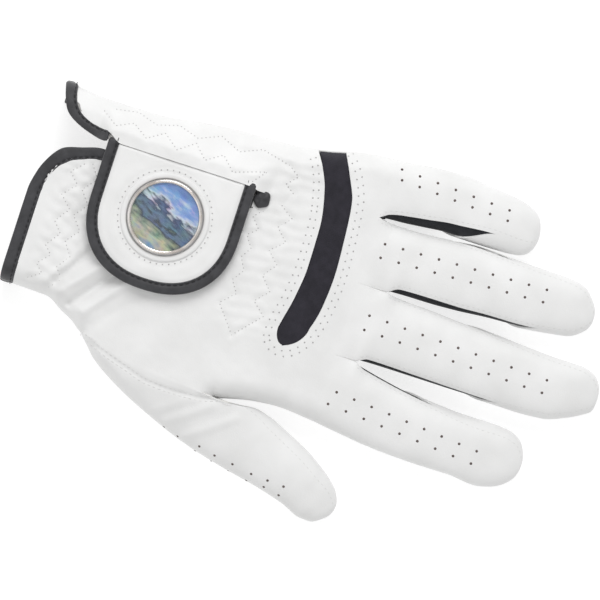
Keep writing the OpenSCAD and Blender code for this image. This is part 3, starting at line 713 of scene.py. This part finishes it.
ride(back_ribbon("slit_binding_tape", [[-30.6, -27.6], [-30.6, -86], [-28.6, -94], [-26.6, -100], [-22, -104],
                                       [-15, -107], [-8, -108.2], [27, -108.2]],
                 [[-26.2, -27.6], [-26.2, -86], [-24.6, -91.6], [-22.6, -95.8], [-19.6, -99.2],
                  [-14.6, -101.6], [-8, -103.2], [27, -103.2]]), "slit_binding")
ride(back_ribbon("ulnar_binding_tape", [[-51.6, -107.4], [-45, -105.4], [-40, -103], [-37, -99], [-34.4, -92],
                                        [-33.4, -87], [-33.4, -85.4]],
                 [[-49.9, -102.4], [-45, -101], [-41.4, -98.6], [-39.2, -95.2], [-37.9, -90.6], [-37.5, -87],
                  [-37.4, -85.4]], tab_root_rise), "ulnar_binding")
angles, heel_y = np.linspace(-78, -90, 6), -80.4
heel = np.column_stack([np.linspace(-41, 24, 60)[1:-1], np.full(58, heel_y), np.zeros(58)])
line = np.concatenate([side_point(np.full(6, heel_y), ULNAR, -1, angles), heel,
                       side_point(np.full(6, heel_y), RADIAL, 1, angles[::-1])])
ride(ribbon("heel_binding_tape", line, [0, 2.3, 0], [0, 0, -1], TAPE_THICK, 0.0), "palm_binding")
for name, edge, sign, at_y, top_angle, half in (("radial_wing_tape", RADIAL, 1, -105.8, 16, 2.4),
                                                ("ulnar_wing_tape", ULNAR, -1, -104.9, 4, 1.6)):
    line = side_point(np.full(30, at_y), edge, sign, np.linspace(-90, top_angle, 30))
    norms = np.cross(tangent_of(line), [0, 1.0, 0]) * sign
    norms *= np.sign(np.sum(norms * [sign, 0, 0]))
    ride(ribbon(name, line, [0, half, 0], norms, TAPE_THICK, 0.3))

# Tack that closes the slit: a gathered fold of the binding
a = np.linspace(0, 2 * math.pi, 40, endpoint=False)
wave = 1 + 0.05 * np.cos(5 * a + 1)
rings = []
for r, z in ((0.05, 19.5), (0.35, 19.5), (0.6, 19.45), (0.8, 19.3), (0.93, 18.95), (0.98, 18.5), (0.9, 18.2),
             (0.05, 18.2)):
    dent = 0.35 * np.exp(-((r - 0.45) / 0.25) ** 2) * np.cos(3 * a) * (z > 18.6)
    rings.append(np.column_stack([-31 + 3.5 * r * wave * np.cos(a), -24.8 + 3.2 * r * wave * np.sin(a),
                                  z + dent]))
tack = mesh_object("slit_tack_fold", np.concatenate(rings), tube_faces(len(rings), len(a)), BINDING)
tack.data.flip_normals()
ride(tack, "slit_tack")


# Fingers

POWER = 2.5  # how square a finger's section is
# Rows of [y, left, right, height], and each gusset's [from, to] with its depth along the finger
FINGERS = {
    "little": dict(
        rows=[[18.5, -60.8, -38.05, 15], [22.5, -61.1, -38.1, 14.8], [27, -61.6, -38.3, 14.5],
              [35, -62.5, -39.1, 13.4], [45, -63, -40, 13], [55, -62, -40, 13], [66, -60.8, -40.2, 12.4],
              [72.5, -58.8, -41, 11], [75.6, -56, -43, 8.5], [77, -52.5, -46, 5], [77.4, -50.6, -47.8, 2.6],
              [77.5, -49.6, -48.8, 0.8]],
        ulnar=None,
        radial=(18.5, 62, [[18.5, 0], [22, 2.2], [27, 3.2], [38, 3.8], [47, 4.4], [60, 5.4], [72, 4.2],
                [77.5, 2]]),
        bend=(19, 35)),
    "ring": dict(
        rows=[[18.5, -38.05, -12.6, 15], [22.5, -37.9, -12.6, 14.8], [30, -37.9, -12.6, 14.4],
              [38, -38.3, -12.8, 13.5], [46, -39, -12.9, 13], [56, -39.5, -13.4, 13],
              [68, -39.2, -14.5, 13], [80, -38.9, -15.2, 13], [92, -38.7, -16.7, 12.4],
              [99, -37.5, -18, 11], [103, -34, -20.5, 8.5], [105.4, -30.5, -23.5, 5],
              [106, -28.4, -25.4, 2.6], [106.1, -27.3, -26.5, 0.8]],
        ulnar=(18.5, 74, [[18.5, 0], [22, 0.5], [30, 0.6], [100, 0.8], [106, 0.8]]),
        radial=(29.5, 88, [[29.5, 0], [34, 2.4], [45, 2.6], [60, 2.0], [88, 1.2], [106, 1.2]]),
        bend=(30, 47)),
    "middle": dict(
        rows=[[18.5, -12.6, 15.2, 15], [26.5, -12.6, 15.2, 14.6], [30, -12.6, 15.1, 14.4],
              [38, -12.3, 15, 13.5], [48, -11.9, 15, 13], [60, -11.1, 15, 13], [74, -10.3, 14.9, 13],
              [88, -9.4, 14.9, 13], [99, -9, 14.2, 12.4], [107, -9, 11.4, 11], [112.6, -7.4, 8.4, 8.5],
              [116, -3, 5.6, 5], [116.5, -0.5, 3, 2.6], [116.6, 0.8, 1.7, 0.8]],
        ulnar=(29.5, 76, [[29.5, 0], [34, 0.7], [75, 0.6], [116, 0.8]]),
        radial=(26.5, 82, [[26.5, 0], [31, 1.9], [50, 1.6], [82, 1.1], [116, 1.2]]),
        bend=(30, 47)),
    "index": dict(
        rows=[[18.5, 15.2, 41.3, 15], [26.5, 15.2, 42.4, 14.6], [30, 16, 42.8, 14.3],
              [38, 17.7, 43.8, 13.5], [48, 19.5, 44.5, 13], [60, 21, 44.8, 13], [72, 21.6, 44.7, 13],
              [82, 21.5, 45.6, 12.4], [88, 21.9, 44.4, 11.4], [93.4, 24, 41.4, 9], [96.4, 28.4, 37.6, 5.5],
              [97.2, 31.4, 34.6, 2.6], [97.3, 32.6, 33.4, 0.8]],
        ulnar=(26.5, 60, [[26.5, 0], [31, 1.2], [58, 1.1], [80, 2.2], [97, 1.2]]),
        radial=None,
        bend=(30, 47)),
}


def lift_of(h):
    """How far a thin part stands off the floor."""
    return np.where(h > 12.5, 0, (12.5 - h) * 0.42)


def rounding(y, gusset):
    """How round a finger's side is: flat where it joins its neighbour or the hand, round past the crotch."""
    if gusset is None:
        return smooth(18.5, 28, y)
    if gusset[0] < 19:
        return smooth(18.5, 25, y)
    return 0.3 * smooth(18.5, gusset[0], y) + 0.7 * smooth(gusset[0], gusset[0] + 6, y)


def seam_angle(y, half, gusset):
    """Where the back leather's edge runs round a finger, in degrees above its middle."""
    if gusset is None:
        return np.full(len(y), -45.0)
    inset = curve(gusset[2])(y)
    return np.degrees(np.arccos(np.clip(1 - inset / half, 0, 1) ** (POWER / 2)))


def low_angle_of(y, upper, gusset):
    """Where the palm leather's edge runs: it rises to meet the back past the gusset's end."""
    if gusset is None:
        return upper
    return -upper + 2 * upper * smooth(gusset[1] - (30 if gusset[0] < 19 else 16), gusset[1], y)


def finger_grid(r, finger, angles):
    """The finger's skin at each row and angle."""
    y, xl, xr, h = (r[:, k:k + 1] for k in range(4))
    a = np.radians(angles)
    ca, sa = np.cos(a), np.sin(a)
    ca, sa = np.where(np.abs(ca) < 1e-9, 0, ca), np.where(np.abs(sa) < 1e-9, 0, sa)
    half = (xr - xl) / 2
    out = np.abs(ca) ** (2 / POWER)
    x = (xl + xr) / 2 + half * np.sign(ca) * out
    mid = lift_of(h) + h / 2
    up = np.sign(sa)
    z_round = up * np.abs(sa) ** (2 / POWER)
    z_flat_r = up * (edge_fall(half * (1 - out)) if finger["radial"] is None else 1)
    z_flat_u = up * (edge_fall(half * (1 - out)) if finger["ulnar"] is None else 1)
    s_r, s_u = rounding(y, finger["radial"]), rounding(y, finger["ulnar"])
    z = np.where(ca > 0, z_flat_r + (z_round - z_flat_r) * s_r, z_flat_u + (z_round - z_flat_u) * s_u)
    g = np.stack([x, y + 0 * x, mid + h / 2 * z], -1)
    calm = smooth(19, 26, y) * smooth(0, 5, r[-1, 0] - y)
    g[..., 2] += 0.1 * calm * ripple(x, y + 0 * x, 13, 40) * (sa > 0.3)
    return g


def spread(a, b, count):
    """Rows of even angles from one edge to another."""
    return a[:, None] + (b - a)[:, None] * np.linspace(0, 1, count)[None, :]


def bend(o, body, start, end, *nodes):
    """Bake a piece's place into its mesh and hide its CAD nodes; it follows no body and does not bend. The
    body, start and end are not used.
    """
    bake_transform(o)
    if nodes:
        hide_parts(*nodes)
    return o


def seam_rows(g, n, from_side, gap):
    """A line on a grid with its normals, a fixed distance in from one side."""
    rows = []
    for row in np.concatenate([g, n], -1):
        line = row if from_side == 0 else row[::-1]
        rows.append(along(gap, run_along(line[:, :3]), line).ravel())
    return np.array(rows)[:, :3], np.array(rows)[:, 3:]


def thread_along(name, line, norms):
    """A row of white stitches 2 mm apart."""
    run = run_along(line)
    even = np.linspace(0, run[-1], max(2, int(run[-1] / 2)))
    at, up = along(even, run, line), along(even, run, norms)
    up /= np.linalg.norm(up, axis=1, keepdims=True)
    return many(name, at - up * 0.05, tangent_of(at), up, *bead(1.15, 0.15), THREAD)


# Air holes in two rows: each row's first and last place, and how many
HOLES = {"little": [(-57.5, 21, -53.7, 22.2), (-55.5, 63.5, -51.6, 64), 7],
         "ring": [(-29.3, 23.5, -24, 23.5), (-31.8, 85.7, -27, 85.7), 10],
         "middle": [(-2.4, 26.2, 3.2, 26), (0, 96, 5, 95.7), 11],
         "index": [(28.2, 23.4, 33.3, 21.7), (33, 79.4, 38, 78.8), 9]}
CROTCH_GUSSETS = {"little": "little_ring_gusset", "ring": "ring_middle_gusset",
                  "middle": "middle_index_gusset"}
TUCK = 7.0  # degrees that a gusset runs on under the leather
for name, f in FINGERS.items():
    rows = np.array(f["rows"], float)
    t = run_along(rows * [1, 0.5, 0.5, 0.5])
    r = curve(np.column_stack([t, rows]))(np.linspace(0, t[-1], int(t[-1] / 0.8)))
    y, half = r[:, 0], (r[:, 2] - r[:, 1]) / 2
    up_r, up_u = seam_angle(y, half, f["radial"]), seam_angle(y, half, f["ulnar"])
    lo_r, lo_u = low_angle_of(y, up_r, f["radial"]), low_angle_of(y, up_u, f["ulnar"])
    outward = finger_grid(r, f, spread(up_r, 180 - up_u, 74))
    axis = np.stack([(r[:, 1] + r[:, 2]) / 2, y - 4, lift_of(r[:, 3]) + r[:, 3] / 2], -1)[:, None]
    body = name + "_finger"
    start, end = (0, f["bend"][0], 0), (0, f["bend"][1], 0)
    back, n = leather_shell(name + "_back_leather", outward, outward - axis, 0.7)
    bend(back, body, start, end, name + "_root_back", name + "_back")
    skins[name] = Skin(outward, n)
    under = finger_grid(r, f, spread(lo_r, -180 - lo_u, 60))
    palm_side, _ = leather_shell(name + "_palm_leather", under, under - axis, 0.7)
    bend(palm_side, body, start, end, name + "_root_palm", name + "_palm")
    for key, up, lo, sign, edge in (("radial", up_r, lo_r, 1, 0), ("ulnar", up_u, lo_u, -1, 1)):
        if f[key] is None:
            continue
        keep = (y > f[key][0] - 3) & (y < f[key][1] - 1)
        a = spread(up[keep] + TUCK, lo[keep] - TUCK, 22)
        g = finger_grid(r[keep], f, a if sign > 0 else 180 - a)
        inward = grid_normals(g, g - axis[keep]) * 0.75
        piece, _ = shell(f"{name}_{key}_gusset_knit", g - inward, 0.5, GUSSET, g - axis[keep])
        nodes = [f"{name}_gusset" if name in ("little", "index") else f"{name}_gusset_{key}"]
        if key == "radial":
            nodes.append(CROTCH_GUSSETS[name])
        bend(piece, body, start, end, *nodes)
        line, norms = seam_rows(outward, n, edge, 1.5)
        keep = (y > f[key][0] + 1.5) & (y < rows[-1, 0] - 1.0)
        bend(thread_along(f"{name}_{key}_stitches", line[keep], norms[keep]), body, start, end)
    a, b, count = HOLES[name]
    k = np.linspace(0, 1, count)[:, None]
    spots = np.array(a) + (np.array(b) - np.array(a)) * k
    spots, norms = skins[name].drop(spots[:, [0, 2]].ravel(), spots[:, [1, 3]].ravel(), 0.02)
    # Air holes as dark discs of painted shade
    bend(many(name + "_perforations", spots, [0, 1.0, 0], norms, *dimple(0.52), PERFORATION_SHADE),
         body, start, end)


# Thumb

# Rows across the thumb, as [x, y, x, y] from its inner side to its outer side, and its height
THUMB = [[44.2, -19, 36.3, -74, 18], [44.3, -15, 40.2, -70.2, 17.95], [44.4, -11, 44, -66.5, 17.7],
         [43.3, -3.5, 52.5, -52.5, 16.8], [45, 3.5, 58.5, -39, 15.6], [47.3, 9, 64, -24, 14.8],
         [50, 15, 68, -8.5, 14], [53, 21, 71, 6, 13.5], [56.5, 26.5, 74, 17, 13],
         [60, 31.2, 77, 24.6, 11.4], [63.6, 34.6, 77.2, 28.6, 8.6], [68.4, 36.4, 74.4, 33.6, 4.6],
         [70.4, 36.2, 73, 35, 2.4], [71.4, 35.9, 72, 35.6, 0.7]]
THUMB_POWER = 2.4
t = run_along(np.array(THUMB, float) * [0.5, 0.5, 0.5, 0.5, 0.3])
run = np.linspace(0, t[-1], 150)
r = curve(np.column_stack([t, THUMB]))(run)
p0, p1, h = r[:, :2], r[:, 2:4], r[:, 4]
length = np.linalg.norm(p1 - p0, axis=1)
across = (p1 - p0) / length[:, None]
centre = (p0 + p1) / 2
roundness = smooth(2, 22, run)[:, None]
side_inset = np.interp(run, [0, 6, 14, 30, t[-1] - 12, t[-1]], [0.2, 1.0, 2.6, 3.6, 2.6, 0.3])
upper = np.degrees(np.arccos(np.clip(1 - 2 * side_inset / length, 0, 1) ** (THUMB_POWER / 2)))
upper = np.clip(upper, 20, 80)


def thumb_grid(angles):
    """The thumb's skin at each row and angle."""
    a = np.radians(angles)
    ca, sa = np.cos(a), np.sin(a)
    out = np.abs(ca) ** (2 / THUMB_POWER)
    half = length[:, None] / 2
    spot = centre[:, None] + across[:, None] * (half * np.sign(ca) * out)[..., None]
    up = np.sign(sa)
    z_round, z_flat = up * np.abs(sa) ** (2 / THUMB_POWER), up * edge_fall(half * (1 - out))
    z = z_flat + (z_round - z_flat) * roundness
    x, y = spot[..., 0], spot[..., 1]
    z = (lift_of(h) + h / 2)[:, None] + h[:, None] / 2 * z
    calm = smooth(0, 6, run)[:, None] * (1 - smooth(t[-1] - 6, t[-1], run))[:, None] * (sa > 0.25)
    z += calm * 0.14 * ripple(x, y, 15, 50)
    for a, b, tall in (((49, -9), (62, -26), 0.55), ((47.5, -19), (60, -36), 0.6),
                       ((47, -27), (57, -41), 0.4)):
        z += calm * tall * np.exp(-(reach(x, y, [a, b]) / 1.8) ** 2)
    z -= 0.4 * smooth(0, 3, run)[:, None] * (sa > 0.1) * np.exp(-reach(x, y, THUMB_SEAM) ** 2)
    return np.stack([x, y, z], -1)


def bend_thumb(o, *nodes):
    """A thumb piece, baked in place with its CAD nodes hidden."""
    square = np.array([0.990, -0.142, 0])
    return bend(o, "thumb", 46.4 * square, 58 * square, *nodes)


axis = np.concatenate([centre - np.array([0.6, 0.8]) * 3, (lift_of(h) + h / 2)[:, None]], 1)[:, None]
outer_edge, palm_edge = np.full(len(run), -45.0), np.full(len(run), -135.0)
g = thumb_grid(spread(outer_edge, 180 - upper, 84))
back, n = leather_shell("thumb_back_leather", g, g - axis, 0.75)
bend_thumb(back, "thumb_back")
skins["thumb"] = Skin(g, n)
line, norms = seam_rows(g, n, 1, 1.3)
bend_thumb(thread_along("thumb_side_stitches", line[16:140], norms[16:140]))
g = thumb_grid(spread(outer_edge, palm_edge, 50))
bend_thumb(leather_shell("thumb_palm_leather", g, (0, 0, -1), 0.75)[0], "thumb_palm")
g = thumb_grid(spread(180 - upper, 360 + palm_edge, 26))
bend_thumb(leather_shell("thumb_inner_strip_leather", g, g - axis, 0.75)[0], "thumb_strip")
seam = path(THUMB_SEAM, 2.0)[1:-1]
aside = tangent_of(seam)[:, ::-1] * [1, -1]
for k, offset in enumerate((0.9, -0.9)):
    x, y = (seam + aside * offset).T
    spots, norms = skins["thumb"].drop(x, y, -0.02)
    bend_thumb(many(f"thumb_seam_stitches_{k}", spots, tangent_of(spots), norms, *bead(1.2, 0.17), THREAD))
pairs = [(67.5, 15.5), (71.2, 14.8), (67.2, 9.2), (70, 8.6), (66.8, 2.7), (69.8, 1.7), (65.5, -5),
         (68.5, -5.8), (64.5, -12.3), (67.2, -13), (63, -18.7), (65.3, -19.8), (62, -27.5), (60.3, -33.5)]
# Air holes on the thumb, as dark discs of painted shade
spots, norms = skins["thumb"].drop(*zip(*pairs), 0.02)
bend_thumb(many("thumb_perforations", spots, [0, 1.0, 0], norms, *dimple(0.5), PERFORATION_SHADE))


# Stitching on the back of the hand

# The stitch holes below are grey discs of painted shade
for k, line in enumerate(ZIGZAGS):
    panel = "ulnar" if k in ULNAR_ZIGZAGS else "back"
    here = [p for p in line if (p[0] < -34) == (panel == "ulnar")]
    if k == 0:
        beyond = [p for p in line if p[0] < -35]
        ride(holes("zigzag_holes_0b", skins["ulnar"], beyond, 1.5, 0.26, rounded=False))
    ride(holes(f"zigzag_holes_{k}", skins[panel], here, 1.5, 0.22, rounded=False))
band_outline = path([(-56.6, -3), (-50, 3), (-40, 7.2), (-28, 8.6), (-12, 9.5), (0, 8.7), (10, 6.3),
                     (14, 4), (17, 1), (17.7, -1.2), (17, -3.5), (15, -4.7), (10, -4.2), (0, -2.2),
                     (-12, -1), (-27, -1.3), (-42, -4), (-50, -7), (-55.4, -10.6)], 0.8)
band_path = path(band_outline, 1.0)
t = tangent_of(band_path)
away = np.column_stack([-t[:, 1], t[:, 0]])
for k, gap in enumerate((2.2, 4.2)):
    line = band_path + away * gap
    upper_side = [p for p in line[3:-3] if p[1] > BAND_UPPER(min(p[0], 17)) - 1 or p[0] > 17.2]
    lower_side = [p for p in line[3:-3] if p[1] < BAND_LOWER(min(p[0], 17)) + 1 and p[0] <= 17.2]
    ride(holes(f"band_holes_upper_{k}", skins["knuckle"], upper_side, 3.1))
    ride(holes(f"band_holes_lower_{k}", skins["back"], [p for p in lower_side if p[0] > -33], 3.1))
    ride(holes(f"band_holes_ulnar_{k}", skins["ulnar"], [p for p in lower_side if p[0] < -34], 3.1))


# Closure tab, drawn from the marker's middle outwards

TAB_RADIAL, TAB_END, TAB_ROOT = 27.8, 28.5, 20.4  # reach from the marker towards the thumb, along Y, and back
TAPE_WIDE = 4.2
UP = (0, 0, 1.0)


def round_marker(r, a):
    """Places at a radius and angle round the marker's middle."""
    return MARKER_X + r * np.cos(a), MARKER_Y + r * np.sin(a)


def tab_reach(a, inset):
    """Distance from the marker's middle to the tab's outline."""
    p, w, b = 2.3, TAB_RADIAL - inset, TAB_END - inset
    c, s = np.cos(a), np.sin(a)
    right = ((np.abs(c) / w) ** p + (np.abs(s) / b) ** p) ** (-1 / p)
    left = np.minimum(b / np.maximum(np.abs(s), 1e-6), TAB_ROOT / np.maximum(np.abs(c), 1e-6))
    return np.where(c >= 0, right, left)


def disc_plate(name, radii, heights, angles, material, *nodes):
    """A closed plate on the tab from a ring of radii and heights for every angle."""
    verts = np.concatenate([np.column_stack([*round_marker(r, angles), z + 0 * angles])
                            for r, z in zip(radii, heights)])
    o = mesh_object(name, verts, tube_faces(len(radii), len(angles), loop=True), material)
    o.data.flip_normals()
    return ride(o, *nodes, body="closure_tab")


def profile_plate(name, inner, outer, z_low, top, angles, material, *nodes, steps):
    """A plate between two outlines round the marker with a shaped top."""
    radii = [inner + (outer - inner) * w for w in np.linspace(0, 1, steps)]
    heights = [top(r, angles) for r in radii]
    disc_plate(name, radii + [outer, inner], heights + [z_low, z_low], angles, material, *nodes)


corner = math.atan2(24.2, TAB_ROOT)
angles = np.unique(np.concatenate([np.linspace(-math.pi, math.pi, 241)[:-1],
                                   [math.pi - corner, corner - math.pi]]))


def tab_top(r, a):
    rim = tab_reach(a, 4.3) - r
    halo = 0.16 * np.exp(-((r - 20.2) / 1.6) ** 2) * (np.cos(a) > -0.75)
    dip = -0.22 * np.exp(-((r - 16.7) / 0.5) ** 2) - 0.1 * np.exp(-((r - 18.2) / 0.8) ** 2)
    tucked = -0.3 * np.exp(-(np.maximum(rim, 0) / 0.9) ** 2)
    return 22.1 + halo + dip + tucked + 0.03 * ripple(*round_marker(r, a), 9, 60)


profile_plate("tab_leather_top", np.full(len(angles), 14.25), tab_reach(angles, TAPE_WIDE), 20.9, tab_top,
              angles, LEATHER, "tab_leather", steps=44)
profile_plate("tab_lining_sheet", np.full(len(angles), 0.6), tab_reach(angles, TAPE_WIDE), 20.3,
              lambda r, a: 20.88 + 0 * a, angles, LINING, "tab_lining", steps=6)
bead_angles = np.linspace(0, math.pi, 9)
disc_plate("marker_ring_leather", [15.35 - 1.12 * math.cos(a) for a in bead_angles] + [16.4, 14.3],
           [22.05 + 0.72 * math.sin(a) ** 0.7 for a in bead_angles] + [21.4, 21.4],
           np.linspace(-math.pi, math.pi, 161)[:-1], LEATHER, "marker_ring")
r, a = np.meshgrid(np.linspace(14.3, 24, 60), angles, indexing="ij")
grid = np.stack([*round_marker(r, a), tab_top(r, a)], -1)
tab_skin = Skin(grid, grid_normals(grid, np.array(UP)))
# Stitch holes round the marker ring, as grey discs of painted shade
line = np.column_stack(round_marker(17.4, np.linspace(0, 2 * math.pi, 48)))
ride(holes("marker_ring_holes", tab_skin, line, 2.3, 0.27), body="closure_tab")

# Binding round the tab, straight along its two short sides
quarter = math.pi / 2
start = math.atan2(26.4, 20.2)
a = np.concatenate([np.linspace(start - math.pi, -quarter, 30)[:-1], np.linspace(-quarter, quarter, 110),
                    np.linspace(quarter, math.pi - start, 30)[1:]])
straight = np.cos(a) < 0
x, y = round_marker(np.where(straight, TAB_END / np.abs(np.sin(a)), tab_reach(a, 0)), a)
outer = np.column_stack([x, y])
x_in, y_in = round_marker(tab_reach(a, TAPE_WIDE), a)
inner = np.column_stack([np.where(straight, x, x_in),
                         np.where(straight, MARKER_Y + np.sign(np.sin(a)) * (TAB_END - TAPE_WIDE), y_in)])
mid = np.column_stack([(outer + inner) / 2, np.full(len(a), 22.45)])
half = np.column_stack([(inner - outer) / 2, np.zeros(len(a))])
ride(ribbon("tab_binding_tape", mid, half, UP, 2.3, 0.0), "tab_binding", body="closure_tab")
line = path(mid + half * 0.62 - np.array(UP) * 0.12, 2.3, False)
ride(many("tab_binding_thread", line, tangent_of(line), UP, *bead(1.6, 0.18), BLACK_THREAD),
     body="closure_tab")

# Sewn root of the tab, under the ulnar panel
u, v = squared(np.linspace(0, 2 * math.pi, 20, endpoint=False), 0.5)
verts = np.concatenate([np.column_stack([-35.85 + 1.45 * u, np.full(20, y), 19.6 + 1.55 * v])
                        for y in np.linspace(-85.6, -29.4, 40)])
ride(mesh_object("tab_root_fold", verts, tube_faces(40, 20), SUEDE), "tab_anchor")


# Hook and loop halves

def pad(name, x0, x1, y0, y1, z0, z1, material):
    """A thin plate with round corners and soft edges."""
    u, v = squared(np.linspace(0, 2 * math.pi, 96, endpoint=False), 0.28)
    w, h = (x1 - x0) / 2, (y1 - y0) / 2
    rings = [(0.98 * w, 0.98 * h, z1), (0.5 * w, 0.5 * h, z1), (0.8, 0.8, z1), (0.3, 0.3, z1 - 0.1),
             (0.0, 0.0, z1 - 0.35), (0.0, 0.0, z0 + 0.3), (0.3, 0.3, z0), (0.98 * w, 0.98 * h, z0)]
    verts = [np.column_stack([x0 + w + u * (w - in_x), y0 + h + v * (h - in_y), np.full(96, z)])
             for in_x, in_y, z in rings]
    o = mesh_object(name, np.concatenate(verts), tube_faces(len(rings), 96), material)
    o.data.flip_normals()
    return o


ride(pad("loop_pile_pad", -25.6, 8, -79, -34, 18.05, 18.95, PILE), "loop_patch")
ride(pad("hook_base_pad", -22, 5.5, -76, -37, 19.85, 20.3, HOOKS), "hook_patch", body="closure_tab")
hx, hy = np.meshgrid(np.arange(-20.8, 4.6, 1.3), np.arange(-74.5, -38, 1.5), indexing="ij")
spots = np.column_stack([hx.ravel(), hy.ravel(), np.full(hx.size, 19.86)])
hook_shape = [(-0.15, -0.12, 0), (0.15, -0.12, 0), (0.15, 0.12, 0), (-0.15, 0.12, 0), (-0.12, -0.1, -0.3),
              (0.12, -0.1, -0.3), (0.12, 0.1, -0.3), (-0.12, 0.1, -0.3), (0.1, -0.1, -0.48),
              (0.38, -0.1, -0.42), (0.38, 0.1, -0.42), (0.1, 0.1, -0.48)]
hook_faces = [[0, 1, 5, 4], [1, 2, 6, 5], [2, 3, 7, 6], [3, 0, 4, 7], [4, 5, 9, 8], [5, 6, 10, 9],
              [6, 7, 11, 10], [7, 4, 8, 11], [8, 9, 10, 11]]
ride(many("hook_rows", spots, [1.0, 0, 0], UP, hook_shape, hook_faces, HOOKS), body="closure_tab")


# Ball marker

def lathe(name, profile, material, body, node, count=128):
    """A turned piece round the marker's axis from [radius, height] points of a closed outline."""
    a = np.linspace(0, 2 * math.pi, count, endpoint=False)
    p = np.array(profile, float)
    verts, faces, sharp, index = [], [], [], []
    for r, z in p:
        solid = r < 1e-6
        index.append([len(verts) + (0 if solid else j) for j in range(count)])
        verts += [(MARKER_X, MARKER_Y, z)] if solid else [(*round_marker(r, t), z) for t in a]
    for i, (r, z) in enumerate(p):
        ring, above = index[i], index[(i + 1) % len(p)]
        for j in range(count):
            k = (j + 1) % count
            quad = [ring[j], ring[k], above[k], above[j]]
            quad = [v for m, v in enumerate(quad) if v != quad[m - 1]]
            if len(quad) > 2:
                faces.append(quad)
            if ring[j] != ring[k] and corner_turn(p, i) > 38:
                sharp.append((ring[j], ring[k]))
    return ride(mesh_object(name, verts, faces, material, sharp), node, body=body)


def corner_turn(p, i):
    """How far an outline turns at one of its points, in degrees."""
    a, b = p[i] - p[i - 1], p[(i + 1) % len(p)] - p[i]
    c = np.dot(a, b) / max(np.linalg.norm(a) * np.linalg.norm(b), 1e-9)
    return math.degrees(math.acos(max(-1, min(1, c))))


cup = [(0, 21.85), (13.3, 21.85), (13.65, 21.95), (13.8, 22.25), (13.8, 23.6), (13.72, 23.85), (13.5, 24.0),
       (13.2, 24.05), (12.85, 24.02), (12.65, 23.92), (12.6, 23.75), (12.6, 22.65), (0, 22.65)]
lathe("marker_cup_metal", cup, METAL, "ball_marker", "marker_cup")
lathe("marker_print_disc", [(0, 22.66), (12.55, 22.66), (12.55, 22.84), (0, 22.84)], PRINT, "ball_marker",
      "marker_print")
dome_r, dome_rise, dome_top = 12.5, 1.3, 25.35
sphere = (dome_r ** 2 + dome_rise ** 2) / (2 * dome_rise)
cap = [(dome_r * k, dome_top - sphere + math.sqrt(sphere ** 2 - (dome_r * k) ** 2))
       for k in (0.995, 0.96, 0.9, 0.8, 0.7, 0.6, 0.5, 0.4, 0.3, 0.2, 0.1, 0)]
lathe("marker_clear_dome", [(0, 22.87), (dome_r, 22.87), (dome_r, 23.9)] + cap, DOME, "ball_marker",
      "marker_dome")
lathe("marker_seat_plate", [(6.05, 20.92), (14.15, 20.92), (14.15, 21.48), (6.2, 21.48), (6.05, 21.4)], STEEL,
      "closure_tab", "marker_seat")
lathe("marker_magnet_disc", [(0, 20.92), (5.9, 20.92), (5.95, 21.0), (5.95, 21.42), (5.85, 21.5), (0, 21.5)],
      MAGNET, "closure_tab", "marker_magnet")


# Floor and light

floor_mesh = bpy.data.meshes.new("floor")
floor_mesh.from_pydata([(-3, -3, 0), (3, -3, 0), (3, 3, 0), (-3, 3, 0)], [], [[0, 1, 2, 3]])
floor = bpy.data.objects.new("floor", floor_mesh)
floor.location.z = -0.0006
scene.collection.objects.link(floor)
floor_mesh.materials.append(node_material("floor", (0.5, 0.5, 0.5), 0.9, Specular_IOR_Level=0.0,
                                          Emission_Color=(1, 1, 1, 1), Emission_Strength=0.62)[0])
world = bpy.data.worlds.new("world")
scene.world = world
world.use_nodes = True
world.node_tree.nodes["Background"].inputs["Color"].default_value = (1, 1, 1, 1)
world.node_tree.nodes["Background"].inputs["Strength"].default_value = 0.68
# Soft lights, as name, place and size in metres, and power
for name, spot, size, power in (("key", (-0.8, -0.1, 0.85), 0.6, 5.7), ("fill", (0.4, -0.5, 1.2), 1.2, 2.2)):
    data = bpy.data.lights.new(name, "AREA")
    data.size = size
    data.energy = power
    lamp = bpy.data.objects.new(name, data)
    lamp.location = spot
    lamp.rotation_euler = (-Vector(spot)).to_track_quat("-Z", "Y").to_euler()
    scene.collection.objects.link(lamp)
